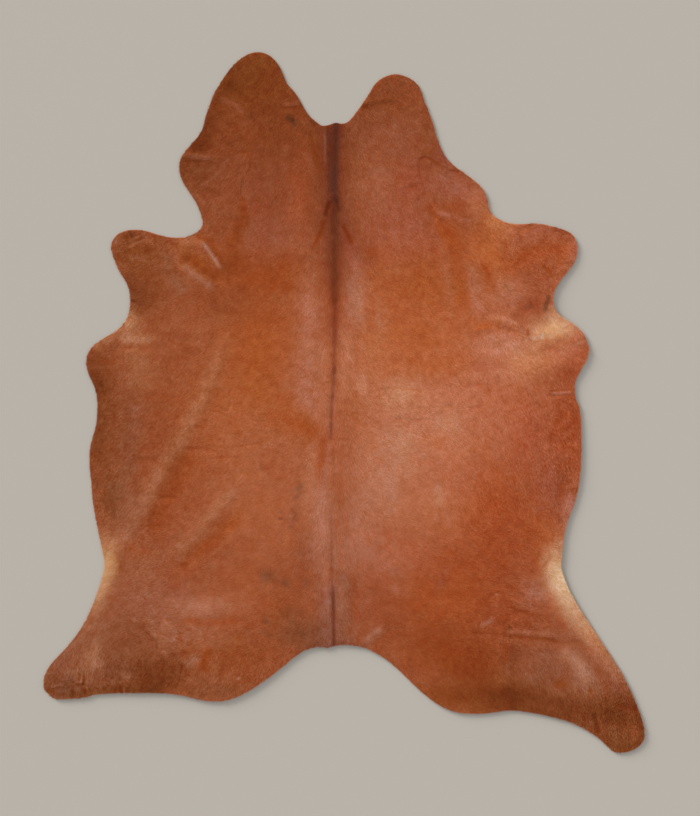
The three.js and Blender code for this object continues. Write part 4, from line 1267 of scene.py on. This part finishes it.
def build_coat():
    rng = np.random.default_rng(7)
    cols = np.arange(-930, 931, HAIR_PITCH)
    rows = np.arange(-1075, 1076, HAIR_PITCH)
    X, Y = np.meshgrid(cols, rows)
    X = (X + rng.uniform(-0.8, 0.8, X.shape) * HAIR_PITCH).ravel()
    Y = (Y + rng.uniform(-0.8, 0.8, Y.shape) * HAIR_PITCH).ravel()
    inside = to_edge(X, Y) > 1.5
    X, Y = X[inside], Y[inside]
    n = len(X)
    lie = hair_way(X, Y)
    way = lie + rng.normal(0, np.radians(6), n)
    length = rng.uniform(*HAIR_LENGTH, n) * (1 - 0.55 * read_map(CREASE_MAP, X, Y))
    width = rng.uniform(*HAIR_WIDTH, n)
    dx, dy = np.sin(way), -np.cos(way)
    # hair beside a fine line lies along it
    part = read_map(PARTING, X, Y)
    lx, ly = near_map(PARTING_X, X, Y), near_map(PARTING_Y, X, Y)
    side = np.where(lx * dx + ly * dy < 0, -1.0, 1.0)
    dx, dy = dx * (1 - part) + side * lx * part, dy * (1 - part) + side * ly * part
    size = np.maximum(np.hypot(dx, dy), 1e-6)
    dx, dy = dx / size, dy / size
    # hairs that would reach far over the edge are the ones the knife trimmed
    reach = to_edge(X + dx * length, Y + dy * length)
    length = np.where(reach < -2.5, np.maximum(length + (reach + 2.5) * 1.3, 4.0), length)
    tx, ty = X + dx * length, Y + dy * length
    px, py = -dy, dx
    roll = rng.normal(0, np.radians(4), n)
    root_z = hair_side(X, Y) + rng.uniform(-0.3, 0.5, n)
    tuft = 0.5 + 0.5 * noise(X, Y, 9, 42)
    # shorter hair stands no steeper than the rest
    tall = np.clip(length / 6.5, 0.4, 1.0)
    tip_z = hair_side(tx, ty) + COAT * (0.2 + 0.45 * rng.uniform(0, 1, n) + 0.35 * tuft) * tall
    half = width / 2
    a = np.column_stack([X + px * half, Y + py * half, root_z + half * np.sin(roll)])
    b = np.column_stack([X - px * half, Y - py * half, root_z - half * np.sin(roll)])
    c = np.column_stack([tx, ty, tip_z])
    # a lock is lit much as the hide under it, and a little as it lies itself
    own = np.cross(b - a, c - a)
    own /= np.linalg.norm(own, axis=1)[:, None]
    own *= np.sign(own[:, 2:])
    rough = read_map(ROUGH_MAP, X, Y)
    share = OWN_LIGHT * np.clip(rough, 0.2, 1.3)[:, None]
    lit = hide_normal(X, Y) * (1 - share) + own * share
    lit /= np.linalg.norm(lit, axis=1)[:, None]
    # how much painted shade darkens the small creases here
    wrinkle = read_map(WRINKLE_SHADE_MAP, X, Y)
    streak = 0.12 * drawn_out(X, Y, lie, 4.5, 6, 41) * rough
    streak += 0.3 * drawn_out(X, Y, lie, 8, 11, 43) * np.clip(rough - 1.2, 0, 1)
    lock = 1 + (streak + LOCK_CHANGE * rough * rng.uniform(-1.7, 1.7, n))[:, None] * np.array((0.45, 1.0, 1.7))
    lock = np.maximum(lock, 0.15)
    # each lock is painted darker at its root and lighter at its tip: painted shade among the roots and painted sheen
    # on the tips
    root_c, tip_c = coat_albedo(X, Y) * lock * 0.94, coat_albedo(tx, ty) * lock * 1.06
    zone = np.where(Y > 330, 0, np.where(Y < -470, 3, np.where(X < SPINE_X, 1, 2)))
    made = []
    for z, name in enumerate(ZONES):
        pick = np.flatnonzero(zone == z)
        co = np.stack([a[pick], b[pick], c[pick]], 1).reshape(-1, 3)
        tris = np.arange(len(co)).reshape(-1, 3)
        ob = make_object(name, co, tris, None, (COAT_MAT,))
        shade = np.stack([root_c[pick], root_c[pick], tip_c[pick]], 1).reshape(-1, 3)
        set_colour(ob, shade)
        set_number(ob, "rough", np.repeat(rough[pick], 3))
        set_number(ob, "wrinkle", np.repeat(wrinkle[pick], 3))
        set_normals(ob, np.repeat(lit[pick], 3, 0))
        set_map(ob, co, co[:, :2].min(0) - 2, co[:, :2].max(0) + 2)
        print("COAT", name, len(pick))
        made.append(ob)
    return made


coat = build_coat()

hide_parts("hide")
for ob in [hide, *coat]:
    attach(ob, "root")


# ---------------------------------------------------------------- floor, light, camera
def build_floor():
    co = np.array([[-20000, -20000, 0], [20000, -20000, 0], [20000, 20000, 0], [-20000, 20000, 0]], float)
    ob = make_object("floor", co, np.array([[0, 1, 2], [0, 2, 3]]), None, (), False)
    m, nt, bsdf = new_material("pale_floor")
    bsdf.inputs["Base Color"].default_value = (0.5, 0.455, 0.403, 1)
    bsdf.inputs["Roughness"].default_value = 0.9
    bsdf.inputs["Specular IOR Level"].default_value = 0.15
    ob.data.materials.append(m)
    ob.location.z = -0.0005


build_floor()

scene = bpy.context.scene
world = bpy.data.worlds.new("studio")
world.use_nodes = True
world.node_tree.nodes["Background"].inputs["Color"].default_value = (0.97, 0.99, 1.0, 1)
world.node_tree.nodes["Background"].inputs["Strength"].default_value = 0.66
scene.world = world
scene.view_settings.view_transform = "Standard"
scene.view_settings.look = "None"

KEY_AZIMUTH, KEY_HEIGHT = math.radians(138), math.radians(17)
key = bpy.data.lights.new("key", "SUN")
key.energy = 3.5
key.angle = math.radians(24)
key.color = (1.0, 0.98, 0.95)
key_ob = bpy.data.objects.new("key", key)
scene.collection.objects.link(key_ob)
to_light = Vector((math.cos(KEY_AZIMUTH) * math.cos(KEY_HEIGHT), math.sin(KEY_AZIMUTH) * math.cos(KEY_HEIGHT), math.sin(KEY_HEIGHT)))
key_ob.rotation_mode = "QUATERNION"
key_ob.rotation_quaternion = to_light.to_track_quat("Z", "Y")

camera = bpy.data.cameras.new("camera")
camera.sensor_width = 36.0
camera.lens = 70.0
camera_ob = bpy.data.objects.new("camera", camera)
scene.collection.objects.link(camera_ob)
FRAME_TALL = 816 * 3.0394 * MM
camera_ob.location = (18.3 * MM, -17.7 * MM, 0.005 + FRAME_TALL * camera.lens / camera.sensor_width)
camera.clip_end = 100
scene.camera = camera_ob
